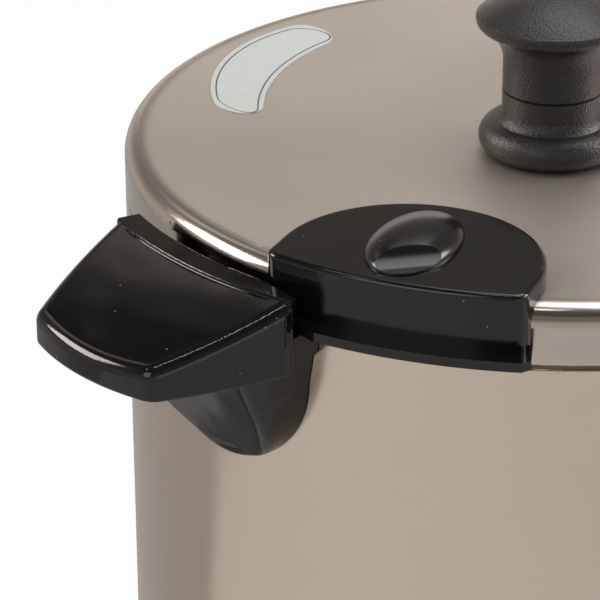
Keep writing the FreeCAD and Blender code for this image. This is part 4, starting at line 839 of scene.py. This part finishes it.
def model_lamp_ring(node):
    """A turned ring that frames a lamp's lens on the panel."""
    low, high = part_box(node)
    middle = (low + high) / 2
    inner = (high[0] - low[0]) / 2 + LENS_GAP
    bpy.ops.object.select_all(action="DESELECT")
    bpy.ops.mesh.primitive_cylinder_add(
        vertices=RING_SIDES, radius=inner, depth=RING_HEIGHT, end_fill_type="NOTHING",
        rotation=LAID_FORWARD, location=(middle[0], PANEL_FACE - RING_HEIGHT / 2, middle[2]))
    ring = bpy.context.object
    bpy.ops.object.transform_apply(location=True, rotation=True, scale=True)
    wall = ring.modifiers.new("ring_wall", "SOLIDIFY")
    wall.thickness = RING_WALL
    wall.offset = 1.0
    bpy.ops.object.modifier_apply(modifier=wall.name)
    round_edges(ring, RING_EDGE, 3)
    edit_all()
    bpy.ops.mesh.normals_make_consistent(inside=False)
    bpy.ops.object.mode_set(mode="OBJECT")
    return ring


for side in ("left", "right"):
    settle(model_lamp_ring(f"lamp_{side}"), f"lamp_ring_{side}", "urn", chrome)

# %% [markdown]
# ## The spring in the tap
# A steel coil spring sits round the valve stem, between the stem's collar and the bonnet. The
# solid is a plain tube. Here a small circle, the section of the wire, is turned and lifted round
# the stem by a screw modifier.

# %% Wind the spring
SPRING_TURNS = 6
WIRE_RADIUS = 0.00075
WIRE_SIDES = 10
COIL_RADIUS = 0.0062
COIL_STEPS = 24
END_GAP = 1.2 * WIRE_RADIUS

spring_low, spring_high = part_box("tap_spring")
spring_length = spring_high[2] - spring_low[2]
spring_axis = (spring_low + spring_high) / 2
bpy.ops.object.select_all(action="DESELECT")
bpy.ops.mesh.primitive_circle_add(
    vertices=WIRE_SIDES, radius=WIRE_RADIUS, rotation=LAID_FORWARD,
    location=(spring_axis[0], spring_axis[1], spring_low[2] + END_GAP))
spring = bpy.context.object
bpy.ops.object.transform_apply(location=False, rotation=True, scale=True)
edit_all()
bpy.ops.transform.translate(value=(COIL_RADIUS, 0.0, 0.0))
bpy.ops.object.mode_set(mode="OBJECT")
winding = spring.modifiers.new("winding", "SCREW")
winding.screw_offset = (spring_length - 2 * END_GAP) / SPRING_TURNS
winding.iterations = SPRING_TURNS
winding.steps = COIL_STEPS
winding.render_steps = COIL_STEPS
bpy.ops.object.modifier_apply(modifier=winding.name)
edit_all()
bpy.ops.mesh.remove_doubles(threshold=MERGE_REACH)
bpy.ops.mesh.fill_holes(sides=WIRE_SIDES)
bpy.ops.mesh.normals_make_consistent(inside=False)
bpy.ops.object.mode_set(mode="OBJECT")
settle(spring, "tap_coil_spring", "urn", zinc)
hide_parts("tap_spring")
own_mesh(spring)

# %% [markdown]
# ## Rounded edges where hands go
# Real mouldings have no sharp edges, and the light catches the rounding. The tap lever, the rocker
# and its frame keep their shapes and get slightly rounded edges. Each piece is a copy of its
# solid's mesh, with the loose triangles merged and the flat faces joined, before a bevel rounds
# its edges.

# %% Round the edges of a solid's copy
LOOSE_REACH = 0.00001
FLAT_ANGLE = math.radians(2)
CORNER_ANGLE = 40.0


def soften(node, name, body, finish, width):
    """A copy of a node with rounded edges that stands for it."""
    bpy.ops.object.select_all(action="DESELECT")
    mesh = frame["nodes"][node].data.copy()
    piece = bpy.data.objects.new(name, mesh)
    bpy.context.scene.collection.objects.link(piece)
    bpy.context.view_layer.objects.active = piece
    piece.select_set(True)
    edit_all()
    bpy.ops.mesh.remove_doubles(threshold=LOOSE_REACH)
    bpy.ops.mesh.dissolve_limited(angle_limit=FLAT_ANGLE)
    bpy.ops.object.mode_set(mode="OBJECT")
    round_edges(piece, width, 3, CORNER_ANGLE)
    settle(piece, name, body, finish)
    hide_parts(node)


soften("tap_lever", "lever_moulding", "tap_lever", fitting_black, 0.0009)
soften("power_rocker", "rocker_moulding", "power_rocker", rocker_red, 0.0006)
soften("switch_frame", "switch_frame_moulding", "urn", case_plastic, 0.0005)
